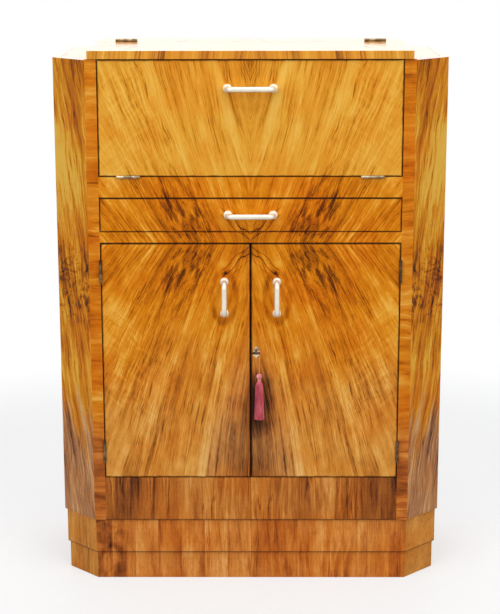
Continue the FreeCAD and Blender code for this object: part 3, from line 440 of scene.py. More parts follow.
# Domed heads, in shares of their radius and height
DOME_ROWS = (-0.98, -0.85, -0.6, -0.35)
DOME_STEPS = 8
DOME_RIM = 0.15
SLOT_HALF = 0.15
SLOT_FLOOR = 0.3
STAY_FOOT = (0.026, 0.0025, 0.012)
STAY_MARGIN = 0.0035
BOLT_PLATE = 0.0015
BACK_MARGIN = 0.014
BACK_COLUMN_PITCH = 0.1353
BACK_EDGE = 0.406
BACK_RISES = (0.2, 0.39, 0.58, 0.77, 0.94)
PIN_PROFILE = ((0, -0.0004), (0.0008, -0.0004), (0.0008, 0.0001), (0.0006, 0.0004), (0, 0.0006))
CAP_PROFILE = (
    (0, -0.0004), (0.0065, -0.0004), (0.0065, 0.0006), (0.0058, 0.0018), (0.0036, 0.0029), (0, 0.0033),
)
# Places to the side of the middle, margin from the top and foot, profile and steps
PINS = ((0.0,), 0.0042, PIN_PROFILE, 16)
CAPS = ((-0.305, 0.0, 0.305), 0.018, CAP_PROFILE, 32)


def screw(bm, place, radius, height, turn):
    """Domed head with a slot, on the place's local XY plane. Its slot is turned by an angle in degrees."""
    place = place @ Matrix.Rotation(math.radians(turn), 4, "Z")
    rows = [(level, False) for level in (*DOME_ROWS, -SLOT_HALF)]
    rows += [(-SLOT_HALF, True), (SLOT_HALF, True)] + [(-level, False) for level, _ in rows[::-1]]
    grid = []
    for level, floor in rows:
        half = math.sqrt(1 - level * level)
        line = []
        for step in range(DOME_STEPS + 1):
            across = half * math.sin(math.pi * (step / DOME_STEPS - 0.5))
            dome = DOME_RIM + (1 - DOME_RIM) * math.sqrt(max(0.0, 1 - across * across - level * level))
            top = min(dome, SLOT_FLOOR) if floor else dome
            line.append(bm.verts.new(place @ Vector((across * radius, level * radius, top * height))))
        grid.append(line)
    for lower, upper in zip(grid, grid[1:]):
        for step in range(DOME_STEPS):
            bm.faces.new((lower[step], lower[step + 1], upper[step + 1], upper[step]))
    right = [line[-1] for line in grid[1:-1]]
    left = [line[0] for line in grid[-2:0:-1]]
    rim = grid[0] + right + grid[-1][::-1] + left
    drop = (place.to_3x3() @ Vector((0, 0, 1))).normalized()
    to_local = place.inverted()
    foot = [bm.verts.new(vertex.co - drop * ((to_local @ vertex.co).z + SCREW_SINK)) for vertex in rim]
    bridge(bm, foot, rim)
    bm.faces.new(foot)


def inside(low, high, margin):
    """Two places within a span, each at a distance from its end."""
    return low + margin, high - margin


def hinge_places():
    """Each hinge with its moving body: local X along the pin, Y into the joint, Z to the moving leaf."""
    for body, pin_axis, leaf_axis in HINGES:
        low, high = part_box(body + "_hinge_leaves")
        along, inward = Vector(pin_axis), Vector(leaf_axis)
        turn = Matrix((along, inward, along.cross(inward))).transposed().to_4x4()
        half = (high - low) / 2
        pin = (low + high) / 2 - inward * (abs(inward.dot(half)) - KNUCKLE_RADIUS)
        apart = abs(along.dot(half)) - HINGE_LENGTH / 2
        for sign in (-sum(pin_axis), sum(pin_axis)):
            yield body, Matrix.Translation(pin + along * apart * sign) @ turn


def make_hinge_screws(brass, shadow):
    """Flat heads on the leaves, each with a dark bar over it as painted shadow of its slot: those of a moving
    leaf ride on its body.
    """
    meshes = {}
    for index, (moving, hinge) in enumerate(hinge_places()):
        for body, turn, level in ((moving, FACE_DOWN, LEAF_GAP), ("cabinet", Matrix.Identity(4), -LEAF_GAP)):
            if body not in meshes:
                meshes[body] = bmesh.new(), bmesh.new()
            heads, slots = meshes[body]
            for count, row in enumerate(SCREW_ROWS):
                slot_turn = Matrix.Rotation(math.radians(23 + 41 * index + 67 * count), 4, "Z")
                place = hinge @ at((count - 1) * SCREW_RUN, KNUCKLE_RADIUS + row, level) @ turn @ slot_turn
                turned(heads, FLAT_HEAD, place, 28)
                # Dark bar over each head, painted shadow of its slot
                bmesh.ops.create_cube(slots, size=1, matrix=place @ Matrix.Diagonal((*FLAT_SLOT_SHADOW, 1)))
    for body, (heads, slots) in meshes.items():
        piece(f"{body}_hinge_screws", heads, body, brass)
        piece(f"{body}_hinge_screw_slot_shadows", slots, body, shadow)


def make_screws(brass):
    def screws(name, body, places, radius, height):
        bm = bmesh.new()
        for index, place in enumerate(places):
            screw(bm, place, radius, height, 17 + 53 * index)
        piece(name, bm, body, brass)

    def on_back(columns, y, levels):
        return [at(x, y, z) @ FACE_BACK for x in columns for z in levels]

    low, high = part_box("lock_case")
    places = on_back(inside(low.x, high.x, 0.004), high.y, inside(low.z, high.z, 0.004))
    screws("lock_case_screws", "right_door", places, 0.0017, 0.0007)
    low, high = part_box("lock_keep")
    places = on_back([(low.x + high.x) / 2], high.y, inside(low.z, high.z, 0.003))
    screws("lock_keep_screws", "left_door", places, 0.0015, 0.0006)
    low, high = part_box("door_bolt_case")
    places = on_back(inside(low.x, high.x, 0.0021), low.y + BOLT_PLATE, inside(low.z, high.z, 0.004))
    screws("door_bolt_screws", "left_door", places, 0.0015, 0.0006)
    length, thickness, width = STAY_FOOT
    low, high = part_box("flap_stays")
    levels = inside(high.z - length, high.z, STAY_MARGIN)
    places = on_back(inside(low.x, high.x, width / 2), low.y + thickness, levels)
    screws("flap_stay_screws", "flap", places, 0.002, 0.0008)
    low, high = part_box("lid_stays")
    rows = inside(low.y, low.y + length, STAY_MARGIN)
    columns = inside(low.x, high.x, width / 2)
    places = [at(x, y, high.z - thickness) @ FACE_DOWN for x in columns for y in rows]
    screws("lid_stay_screws", "lid", places, 0.002, 0.0008)
    low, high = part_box("back_panel")
    columns = [step * BACK_COLUMN_PITCH for step in range(-3, 4)]
    places = on_back(columns, high.y, inside(low.z, high.z, BACK_MARGIN))
    places += on_back((-BACK_EDGE, BACK_EDGE), high.y, [low.z + rise for rise in BACK_RISES])
    screws("back_panel_screws", "cabinet", places, 0.0032, 0.0011)


def make_caps(name, node, body, material, caps):
    """Two rows of turned heads on a node's front, as pins or as caps that hold the mirror."""
    columns, margin, profile, steps = caps
    low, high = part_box(node)
    bm = bmesh.new()
    for side in columns:
        for z in inside(low.z, high.z, margin):
            turned(bm, profile, at((low.x + high.x) / 2 + side, low.y, z) @ FACE_FRONT, steps)
    piece(name, bm, body, material)


# Colours and shader nodes

def srgb(red, green, blue):
    """Linear colour from screen values of 0 to 255."""
    def linear(value):
        share = value / 255
        return share / 12.92 if share <= 0.04045 else ((share + 0.055) / 1.055) ** 2.4
    return linear(red), linear(green), linear(blue), 1.0


class Value:
    """Output of a shader node. Sums, products and the like add further nodes."""

    def __init__(self, shader, socket):
        self.shader = shader
        self.socket = socket

    def __add__(self, other):
        return self.shader.math("ADD", self, other)

    def __sub__(self, other):
        return self.shader.math("SUBTRACT", self, other)

    def __rsub__(self, other):
        return self.shader.math("SUBTRACT", other, self)

    def __mul__(self, other):
        return self.shader.math("MULTIPLY", self, other)

    def __truediv__(self, other):
        return self.shader.math("DIVIDE", self, other)

    def __abs__(self):
        return self.shader.math("ABSOLUTE", self)

    __radd__ = __add__

    def smooth(self, low, high, start=0.0, end=1.0):
        """From start to end as the value goes from low to high, with soft ends."""
        inputs = {"Value": self, "From Min": low, "From Max": high, "To Min": start, "To Max": end}
        return self.shader.node("MapRange", inputs, interpolation_type="SMOOTHSTEP")[0]


class Shader:
    """One material's node tree. Most calls add a node and give its output."""

    def __init__(self, name):
        self.material = bpy.data.materials.new(name)
        self.material.use_nodes = True
        self.tree = self.material.node_tree
        self.surface = self.tree.nodes["Principled BSDF"]
        # The second and fourth outputs are the surface's direction and its place on the object
        _, self.facing, _, place, *_ = self.node("TexCoord")
        self.x, self.y, self.z = self.node("SeparateXYZ", {0: place})

    def feed(self, socket, value):
        if isinstance(value, Value):
            self.tree.links.new(value.socket, socket)
        else:
            socket.default_value = value

    def node(self, kind, inputs=(), **settings):
        """Outputs of a new node, from its settings and its inputs by name or number."""
        node = self.tree.nodes.new("ShaderNode" + kind)
        for name, setting in settings.items():
            setattr(node, name, setting)
        for key, value in dict(inputs).items():
            self.feed(node.inputs[key], value)
        return [Value(self, output) for output in node.outputs]

    def set(self, **values):
        for name, value in values.items():
            self.feed(self.surface.inputs[name.replace("_", " ").title().replace("Ior", "IOR")], value)

    def space(self, x, y, z):
        """Place for noise with a number of cells per metre along each axis."""
        return self.x * x, self.y * y, self.z * z

    def math(self, operation, *values):
        return self.node("Math", enumerate(values), operation=operation)[0]

    def length(self, a, b):
        return self.math("SQRT", a * a + b * b)

    def noise(self, place, detail=2.0, roughness=0.5, distortion=0.0):
        """Noise at a place given by three values."""
        inputs = {"Scale": 1.0, "Detail": detail, "Roughness": roughness, "Distortion": distortion}
        vector = self.node("CombineXYZ", enumerate(place))[0]
        return self.node("TexNoise", {"Vector": vector, **inputs})[0]

    def swing(self, place, amount, detail=2.0, roughness=0.5):
        """Noise about zero, times an amount."""
        return (self.noise(place, detail, roughness) - 0.5) * amount

    def spot(self, x, y, centre, radius, softness):
        """One inside an ellipse round a centre, fading to zero at its rim."""
        reach = self.length((x - centre[0]) / radius[0], (y - centre[1]) / radius[1])
        return reach.smooth(softness, 1.0, 1.0, 0.0)

    def ramp(self, value, stops):
        colour = self.node("ValToRGB", {0: value})[0]
        elements = colour.socket.node.color_ramp.elements
        while len(elements) < len(stops):
            elements.new(0.5)
        for element, stop in zip(elements, stops):
            element.position, element.color = stop
        return colour

    def mix(self, share, first, second, kind="MIX"):
        inputs = {"Factor": share, 6: first, 7: second}
        return self.node("Mix", inputs, data_type="RGBA", blend_type=kind)[2]

    def bump(self, height, distance, strength):
        inputs = {"Distance": distance, "Strength": strength, "Height": height}
        self.set(normal=self.node("Bump", inputs)[0])

    def cover(self, boards):
        """Put the material on CAD nodes."""
        for name in boards:
            slots = nodes[name].data.materials
            slots.clear()
            slots.append(self.material)


# Palettes of the veneers, from the darkest vein to the brightest streak
def palette(*colours):
    last = len(colours) - 1
    return [(index / last, srgb(*colour)) for index, colour in enumerate(colours)]


GOLDEN = palette((62, 30, 4), (138, 80, 10), (196, 124, 20), (234, 159, 44), (241, 175, 60), (248, 194, 86))
AMBER = palette((52, 20, 2), (118, 57, 2), (176, 93, 2), (220, 124, 4), (236, 150, 26), (251, 188, 76))
TAN = palette((50, 27, 14), (110, 63, 26), (166, 101, 38), (214, 137, 50), (234, 165, 74), (250, 198, 116))
HONEY = palette((50, 20, 2), (110, 50, 2), (170, 86, 4), (212, 114, 8), (228, 142, 30), (244, 180, 78))
CHESTNUT = palette((44, 20, 8), (106, 50, 18), (158, 82, 30), (200, 112, 42), (226, 145, 64), (246, 184, 106))
RUSSET = palette((44, 20, 10), (104, 53, 22), (152, 84, 32), (192, 112, 42), (218, 143, 64), (240, 180, 106))
OLIVE = palette((44, 20, 0), (108, 52, 0), (166, 86, 0), (214, 124, 4), (236, 156, 26), (250, 196, 78))
PURPLE = palette((48, 29, 22), (100, 63, 42), (150, 97, 62), (186, 126, 80), (212, 154, 102), (236, 186, 132))
PLAIN = palette((64, 38, 20), (96, 60, 32), (122, 80, 44), (140, 94, 54), (156, 108, 66), (178, 130, 84))
PALE = palette(
    (128, 92, 50), (160, 120, 72), (186, 146, 94), (202, 164, 112), (214, 178, 128), (228, 198, 152),
)
SILK_SHEEN = srgb(255, 190, 190)
WARM_POLISH = srgb(250, 226, 178)
# Colour of edge darkening: partly wear, partly painted shade of the gaps between boards
WEAR_AND_GAP_SHADE = srgb(72, 32, 10)
LIPPING_SHADE = srgb(60, 28, 10)
# Painted shadow in the gap over a board's top edge
GAP_SHADE = srgb(46, 20, 6)
# Painted shadow under each overhanging step of the plinth
STEP_SHADOW_SHADE = srgb(62, 28, 12)


class Figure:
    """Strength of the parts of a wood's figure."""

    middle, clouds, mottle, bands = 0.6, 0.5, 0.3, 0.8
    streaks, lines, dashes, veins = 0.8, 0.5, 0.2, 0.3
    pores, fibres, wave, scale, seed = 0.16, 0.2, 1.0, 1.0, 0.0

    def __init__(self, **strengths):
        for part, strength in strengths.items():
            setattr(self, part, strength)


# Layers of a figure: cells per metre across and along the grain, place in the noise, detail and roughness
CLOUDS = (9.0, 5.0, 11, 2.0, 0.55)
MOTTLE = (48.0, 30.0, 14, 3.0, 0.6)
BANDS = (38.0, 2.6, 1, 4.0, 0.6)
STREAKS = (130.0, 7.0, 2, 4.0, 0.62)
LINES = (430.0, 17.0, 4, 3.0, 0.6)
DASHES = (260.0, 25.0, 5, 3.0, 0.55)
VEINS = (46.0, 2.6, 6, 3.0, 0.55)
VEINED = (16.0, 5.0, 7, 1.0, 0.55)
BUSY = (11.0, 4.0, 8, 2.0, 0.55)
FIBRES = (2100.0, 55.0, 19, 2.0, 0.6)
PORES = (1500.0, 95.0, 9, 2.0, 0.55)


def wood_tone(shader, across, along, depth, figure):
    """Tone from 0 to 1 and height of the pores, from places in metres across and along the grain."""
    seed = figure.seed
    drift = shader.swing((across * 9.0, along * 3.2, seed), 0.05 * figure.wave)
    ripple = shader.swing((across * 40.0, along * 17.0, seed + 3), 0.011 * figure.wave)
    line = across + drift + ripple + depth * 0.3

    def layer(kind, scale=1.0):
        fine, long, offset, detail, roughness = kind
        place = (line * (fine * scale), along * long, seed + offset)
        return shader.noise(place, detail, roughness)

    def swing(amount, kind, scale=1.0):
        return (layer(kind, scale) - 0.5) * amount

    busy = layer(BUSY).smooth(0.32, 0.68, 0.45, 1.5)
    broad = swing(figure.clouds, CLOUDS) + figure.middle + swing(figure.mottle, MOTTLE)
    broad += swing(figure.bands, BANDS, figure.scale) + swing(figure.fibres, FIBRES)
    fine = swing(figure.streaks, STREAKS, figure.scale) + swing(figure.lines, LINES, figure.scale)
    dashes = layer(DASHES).smooth(0.57, 0.69) * busy * figure.dashes
    veins = abs(layer(VEINS) - 0.5).smooth(0.0, 0.03, 1.0, 0.0) * layer(VEINED).smooth(0.44, 0.62)
    pore = layer(PORES).smooth(0.55, 0.66)
    marks = dashes + veins * figure.veins + pore * figure.pores
    return broad + busy * fine - marks, pore


def polish(shader, boards, colour, pore, coat=0.22, coat_roughness=0.06):
    """Finish boards with thin clear polish. The wood's colour drifts and its pores show faintly."""
    warm = shader.noise(shader.space(8, 8, 8), 3.0).smooth(0.42, 0.66, 0.0, 0.75)
    smear = shader.noise(shader.space(9, 9, 9), 3.0).smooth(0.25, 0.75, 0.30, 0.44)
    up = shader.node("SeparateXYZ", {0: shader.facing})[2]
    shader.set(base_color=shader.mix(warm, colour, WARM_POLISH, "MULTIPLY"), roughness=smear)
    shader.set(coat_weight=up.smooth(0.6, 0.9, coat, 1.0), coat_roughness=coat_roughness)
    shader.set(coat_ior=1.3, specular_ior_level=0.05)
    shader.bump(1.0 - pore, 0.00012, 0.35)
    shader.cover(boards)


# Front veneers: rays fan out from a point below the match, mirrored left and right and up and down
FAN_X, FAN_RISE = -0.165, -0.535
FAN_REACH = 0.9
FAN_BEND = 0.5
WEAR_AND_GAP_SHADE_REACH = 0.0036
STRIPE_ACROSS = 1.150
HEART_SLOPE, HEART_SHIFT = 0.33, 0.046
LIPPING_EDGE = -0.0096
# Offset from the first bend and strength of each root-like line
ROOTS = ((0.002, 0.3), (0.018, 0.45), (0.034, 0.16))
# Half the width and height of the dark ring about a door's handle, painted as the handle's shadow
HANDLE_SHADOW_RADIUS = (0.027, 0.058)


class Fan:
    """Side and rise from the middle of the match, and places across and along the rays."""

    def __init__(self, shader):
        self.side = abs(shader.x)
        self.rise = abs(shader.z - MATCH_LEVEL)
        from_x = self.side - FAN_X
        from_rise = self.rise - FAN_RISE - self.rise * self.rise * FAN_BEND
        self.across = shader.math("ARCTAN2", from_rise, from_x) * FAN_REACH
        self.along = shader.length(from_x, from_rise)

    def by_front(self, side, rise, offset):
        """Place for noise, with cells per metre to the side and up and down."""
        return self.side * side, self.rise * rise, offset

    def by_rays(self, across, along, offset):
        """Place for noise, with cells per metre across and along the rays."""
        return self.across * across, self.along * along, offset


def with_flames(shader, tone, fan):
    """Crotch flames beside the middle, which run out along the grain from the match."""
    flame = shader.noise(fan.by_rays(64, 19, 14.0), 5.0, 0.66, 0.3)
    near = shader.spot(fan.across, fan.along, (0.985, 0.665), (0.09, 0.14), 0.4)
    shade = shader.spot(fan.side, fan.rise, (0.10, 0.0), (0.17, 0.075), 0.0)
    return tone - flame.smooth(0.44, 0.62) * near * 0.42 - shade * 0.08


def with_curls(shader, tone, fan):
    """Smoky curls on both sides of the match."""
    curl = shader.noise(fan.by_front(30, 17, 22.0), 2.0, 0.5, 0.8)
    ring = shader.math("PINGPONG", curl * 8.0, 0.5).smooth(0.13, 0.0)
    smoke = shader.spot(fan.side, fan.rise, (0.145, 0.045), (0.08, 0.12), 0.3)
    return tone - smoke * (ring * 0.2 + 0.07)


def with_roots(shader, tone, fan):
    """Root-like lines that bend down from the middle."""
    coarse = shader.swing(fan.by_front(22, 22, 15.0), 0.03, 1.0)
    fine = shader.swing(fan.by_front(90, 90, 16.0), 0.008)
    bend = fan.rise - fan.side * 0.95 + coarse + fine
    near = fan.side.smooth(0.075, 0.055)
    for offset, strength in ROOTS:
        tone -= abs(bend - offset).smooth(0.0028, 0.0004) * near * strength
    return tone


def with_fiddleback(shader, tone, fan):
    """Ripple across the grain near the outer edges."""
    bend = shader.swing(fan.by_front(14, 14, 17.0), 0.03)
    ripple = shader.swing((fan.across * 20, (fan.along + bend) * 165, 17.0), 0.30, 1.0)
    return tone + ripple * shader.spot(fan.side, fan.rise, (0.285, 0.27), (0.15, 0.2), 0.3)


def with_heart(shader, tone, fan):
    """Pale rays that meet in a V on both sides of a darker heart with fine chevrons."""
    wobble = shader.swing(fan.by_rays(26, 7, 61.0), 0.012)
    edge = fan.side + wobble - (fan.rise * HEART_SLOPE - HEART_SHIFT)
    tone += abs(edge).smooth(0.014, 0.006) * (fan.rise.smooth(0.11, 0.18) * 0.21)
    chevron = shader.noise((edge * 400, fan.along * 6, 62.0), 3.0, 0.6)
    heart = edge.smooth(-0.009, -0.015) * fan.rise.smooth(0.16, 0.26)
    return tone - heart * chevron.smooth(0.35, 0.65, 0.05, 0.28)


def with_stripe(shader, tone, fan):
    """Pale stripe from the handle's foot down."""
    wobble = shader.swing(fan.by_rays(30, 9, 41.0), 0.012)
    stripe = abs(fan.across + wobble - STRIPE_ACROSS)
    return tone + stripe.smooth(0.015, 0.007) * fan.rise.smooth(0.13, 0.24) * 0.24


def with_handle_shadow_and_knot(shader, tone, fan):
    """Dark ring about the handle, painted as its shadow, and a knot over it."""
    wobble = shader.swing(fan.by_front(60, 40, 43.0), 0.5, 3.0)
    across = (fan.side - HANDLE_SIDE) / HANDLE_SHADOW_RADIUS[0]
    reach = shader.length(across, (shader.z - HANDLE_LEVEL) / HANDLE_SHADOW_RADIUS[1])
    # Painted shadow of the handle
    tone -= abs(reach + wobble - 1.0).smooth(0.3, 0.05) * 0.23
    knot = shader.spot(fan.side, shader.z, (HANDLE_SIDE - 0.001, HANDLE_LEVEL + 0.056), (0.012, 0.009), 0.2)
    mottle = shader.noise(fan.by_front(150, 150, 44.0))
    return tone - knot * mottle.smooth(0.35, 0.6) * 0.4


def with_wedge(shader, tone, fan):
    """Heartwood that widens to the foot, and a dark streaky patch on the right door's face behind the tassel.
    """
    coarse = shader.swing(fan.by_rays(60, 4, 5.0), 0.07)
    fine = shader.swing(fan.by_rays(240, 7, 6.0), 0.08, 3.0, 0.6)
    depth = fan.side + coarse + fine - fan.rise.smooth(0.16, 0.56, -0.004, 0.07)
    tone -= depth.smooth(0.012, -0.012) * fan.rise.smooth(0.16, 0.30) * 0.21
    streak = shader.noise(fan.by_rays(300, 5, 8.0), 3.0)
    dark = shader.spot(shader.x, shader.z, (0.022, 0.435), (0.046, 0.115), 0.2)
    right_face = shader.x.smooth(-0.001, 0.001) * shader.y.smooth(FRONT + 0.008, FRONT + 0.004)
    return tone - dark * right_face * streak.smooth(0.3, 0.6, 0.26, 0.5)


def low_door_colours(shader, colour, tone, fan):
    """Tan wood low on the doors, with purple heartwood in the middle."""
    drift = shader.swing(shader.space(9, 1, 6), 0.3)
    low = (MATCH_LEVEL - shader.z + drift).smooth(0.15, 0.52)
    colour = shader.mix(low, colour, shader.ramp(tone, TAN))
    heart = fan.side - 0.03 - fan.rise.smooth(0.2, 0.56, 0.0, 0.08)
    heart = heart.smooth(0.03, -0.03) * fan.rise.smooth(0.2, 0.36) * 0.45
    return shader.mix(heart, colour, shader.ramp(tone, PURPLE))


def with_lipping(shader, colour):
    """Strip of darker wood on the closing edge, plainest at the foot."""
    lower = shader.z.smooth(0.46, 0.33, 0.25, 1.0)
    grain = shader.noise((shader.x * 500, shader.z * 9, 4.0), 4.0, 0.6).smooth(0.25, 0.75)
    strip = shader.x.smooth(LIPPING_EDGE - 0.0004, LIPPING_EDGE + 0.0004) * lower
    colour = shader.mix(strip, colour, shader.ramp(grain, RUSSET))
    joint = abs(shader.x - LIPPING_EDGE).smooth(0.0006, 0.0002)
    return shader.mix(joint * lower * 0.5, colour, LIPPING_SHADE)


def worn_and_gap_shaded_edges(shader, colour, low, high):
    """Edges darkened partly by handling and old polish, and partly by painted shade of the gaps round the
    board.
    """
    gap = shader.x - low.x
    for other in (high.x - shader.x, shader.z - low.z, high.z - shader.z):
        gap = shader.math("MINIMUM", gap, other)
    wander = shader.swing(shader.space(60, 60, 60), WEAR_AND_GAP_SHADE_REACH)
    return shader.mix((gap + wander).smooth(0.0, WEAR_AND_GAP_SHADE_REACH, 0.85, 0.0), colour, WEAR_AND_GAP_SHADE)


def fan_veneer(name, boards, colours, figure, extras=(), recolour=None, lipped=False, top_gap_shadow=None):
    """Book-matched front veneer. A board given a painted shadow along its top edge also has edges darkened by
    wear and painted gap shade.
    """
    shader = Shader(name)
    fan = Fan(shader)
    tone, pore = wood_tone(shader, fan.across, fan.along, shader.y, figure)
    # Clouds that aren't mirrored
    tone += shader.swing(shader.space(22, 1, 16), 0.3)
    for part in (with_flames, with_curls, with_roots, with_fiddleback, *extras):
        tone = part(shader, tone, fan)
    colour = shader.ramp(tone, colours)
    if recolour:
        colour = recolour(shader, colour, tone, fan)
    if lipped:
        colour = with_lipping(shader, colour)
    if top_gap_shadow is not None:
        low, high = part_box(boards[0])
        colour = worn_and_gap_shaded_edges(shader, colour, low, high)
        # Painted shadow of the gap above the board, along its top edge
        top_gap_shadow_share = (high.z - shader.z).smooth(0.0030, 0.0016, 0.0, top_gap_shadow)
        colour = shader.mix(top_gap_shadow_share, colour, GAP_SHADE)
    polish(shader, boards, colour, pore)


def with_burl_corner(shader, tone, strength):
    """Dark burl at the plinth's left corner."""
    burl = shader.noise((shader.x * 26, shader.z * 24, 47.0), 2.0, 0.5, 0.3)
    return tone - burl.smooth(0.38, 0.66) * shader.x.smooth(-0.27, -0.32) * strength


def crossband(
    name, boards, colours, figure, axis, leaf_width, leaf_shift, ends=0.0, knots=0.0, step_shadows=(), foot=0.0,
):
    """Veneer laid in leaves side by side, with the grain across the board."""
    shader = Shader(name)
    run, rise = shader.x, shader.z
    if axis == "z":
        run, rise = rise, run
    elif axis == "xy":
        run = shader.x - shader.y
    place = run / leaf_width
    leaf = shader.math("FLOOR", place)
    inner = place - leaf
    chance = shader.node("TexWhiteNoise", {"W": leaf + figure.seed}, noise_dimensions="1D")[0]
    tone, pore = wood_tone(shader, run + chance * 0.21, rise, shader.y, figure)
    seam = shader.math("MINIMUM", inner, 1.0 - inner).smooth(0.0, 0.012, 0.22, 0.0)
    tone += (chance - 0.5) * leaf_shift - (seam + abs(shader.x).smooth(0.10, 0.33, 0.0, ends))
    if knots:
        tone = with_burl_corner(shader, tone, knots)
    if foot:
        low = shader.z.smooth(0.42, 0.30)
        tone -= low * foot
        colour = shader.mix(low, shader.ramp(tone, colours), shader.ramp(tone, CHESTNUT))
    else:
        colour = shader.ramp(tone, colours)
    # Painted shadow lines along the steps where the apron and the plinth's tiers overhang the board below
    for level in step_shadows:
        line = abs(shader.z - level).smooth(0.0026, 0.0008, 0.0, 0.75)
        colour = shader.mix(line, colour, STEP_SHADOW_SHADE)
    polish(shader, boards, colour, pore)


def straight_veneer(
    name, boards, colours, figure, lean, mirror=False, extra=None, plane="xz", foot_colours=None,
    coat=0.22, coat_roughness=0.06,
):
    """Veneer whose grain runs along the plane's second axis, and leans by some metres for each metre."""
    shader = Shader(name)
    places = {"x": shader.x, "y": shader.y, "z": shader.z}
    run, level = places.pop(plane[0]), places.pop(plane[1])
    depth, = places.values()
    if plane == "xy":
        depth = depth * 0.4
    side = abs(run) if mirror else run
    across = side + level * lean
    tone, pore = wood_tone(shader, across, level, depth, figure)
    if extra:
        tone = extra(shader, tone, side, level)
    colour = shader.ramp(tone, colours)
    if foot_colours:
        drift = shader.swing((across * 60, level * 4, 2.0), 0.5)
        colour = shader.mix((level + drift).smooth(0.43, 0.30), colour, shader.ramp(tone, foot_colours))
    polish(shader, boards, colour, pore, coat, coat_roughness)


def wing_tone(shader, tone, side, level):
    """Dark top by the arris, golden middle and a band of burl half way up."""
    dark_top = level.smooth(0.92, 1.16) * (side - ARRIS).smooth(0.06, 0.0) * 0.2
    golden = level.smooth(0.78, 0.94) * level.smooth(1.18, 0.98) * 0.23
    burl = shader.noise((side * 46, level * 30, 31.0), 4.0, 0.62, 1.6)
    burl_band = level.smooth(0.56, 0.66) * level.smooth(0.82, 0.72)
    knots = burl.smooth(0.44, 0.66) * burl_band * 0.42
    low = level.smooth(0.56, 0.50) * level.smooth(0.30, 0.36) * 0.08
    return tone - dark_top - knots + golden + low


# Boards of the top and the plinth
TOPS = ("lid_panel", "rear_top_strip", "wing_tops")
FRONTS = ("plinth_lower_front", "plinth_upper_front")
CANTS = ("plinth_lower_cants", "plinth_upper_cants", "plinth_lower_sides", "plinth_upper_sides")


def make_front_veneers():
    flap = Figure(
        middle=0.76, clouds=0.4, bands=0.95, streaks=0.85, lines=0.85, dashes=0.16, veins=0.2, seed=2,
    )
    fan_veneer("veneer_flap", ["flap_panel"], GOLDEN, flap, [with_heart], top_gap_shadow=0.0)
    shared = dict(middle=0.72, clouds=0.7, mottle=0.5, dashes=0.24, veins=0.26, wave=0.6, seed=2)
    front = Figure(bands=0.9, streaks=0.65, lines=0.55, **shared)
    fan_veneer("veneer_rails", ["flap_rail", "drawer_rail"], AMBER, front)
    fan_veneer("veneer_drawer", ["drawer_front"], AMBER, front, top_gap_shadow=0.9)
    door = Figure(bands=0.85, streaks=0.6, lines=0.6, **shared)
    marks = [with_stripe, with_handle_shadow_and_knot, with_wedge]
    for side in ("left", "right"):
        boards = [side + "_door_panel"]
        lipped = side == "left"
        fan_veneer(f"veneer_{side}_door", boards, AMBER, door, marks, low_door_colours, lipped, 0.7)


def make_body_veneers():
    stile = Figure(
        middle=0.72, bands=1.2, streaks=0.7, lines=0.4, dashes=0.02, veins=0.14, pores=0.06, scale=0.6,
        seed=21,
    )
    crossband("veneer_stiles", ["left_stile", "right_stile"], HONEY, stile, "z", 0.31, 0.1, foot=0.12)
    wing = Figure(
        middle=0.69, clouds=0.2, mottle=0.15, bands=1.3, streaks=1.35, lines=0.9, dashes=0.16, seed=35,
    )
    cants = ["left_canted_panel", "right_canted_panel"]
    straight_veneer("veneer_wings", cants, OLIVE, wing, -0.16, True, wing_tone, foot_colours=PURPLE)
    side = Figure(middle=0.62, bands=1.0, dashes=0.08, veins=0.2, seed=37)
    straight_veneer("veneer_sides", ["outer_sides"], OLIVE, side, 0.12, plane="yz")
    lid = Figure(middle=0.64, bands=1.2, streaks=1.1, lines=0.7, dashes=0.1, seed=41)
    straight_veneer("veneer_lid", TOPS, GOLDEN, lid, 0.3, True, plane="xy", coat=1.0, coat_roughness=0.16)


def make_foot_veneers():
    apron = Figure(
        middle=0.76, clouds=0.2, mottle=0.1, bands=1.3, lines=0.4, dashes=0.06, wave=0.4, scale=0.62, seed=51,
    )
    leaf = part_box("apron")[1].x / 3
    crossband("veneer_apron", ["apron"], RUSSET, apron, "x", leaf, 0.12, 0.40, step_shadows=[TIER_HIGH.z])
    foot = dict(clouds=0.3, bands=1.0, streaks=0.5, dashes=0.03, scale=0.5)
    tier = Figure(middle=0.70, mottle=0.25, lines=0.35, veins=0.22, wave=0.5, seed=205, **foot)
    # Painted shadow line at the step between the two tiers
    step_shadows = [TIER_LOW.z]
    crossband("veneer_plinth", FRONTS, CHESTNUT, tier, "x", 0.0535, 0.34, knots=0.34, step_shadows=step_shadows)
    cant = Figure(middle=0.58, mottle=0.2, lines=0.3, veins=0.1, wave=0.4, seed=83, **foot)
    crossband("veneer_plinth_cants", CANTS, TAN, cant, "xy", 0.12, 0.06, step_shadows=step_shadows)


# Plain woods: each material's name, the plane whose second axis its grain follows, and its nodes
FLOORS = ("base_board", "cupboard_floor", "dust_board", "compartment_floor", "cupboard_shelf")
CARCASS_BOARDS = (
    ("carcass_boards", "yx", *FLOORS),
    ("carcass_uprights", "yz", "inner_sides"),
    ("carcass_strips", "zy", "shelf_battens", "drawer_runners", "stop_blocks"),
    ("carcass_plinth", "zx", "plinth_backs"),
    ("carcass_back", "xz", "back_panel"),
)
PLAIN_LEAN = 0.02
TAILS = 3
TAIL_PITCH = (SIDE_HIGH.z - SIDE_LOW.z) / TAILS
TAIL_LENGTH = 0.012
TAIL_SPREAD = 0.17
TAIL_NECK = TAIL_PITCH * 0.27
CUT = 0.0001


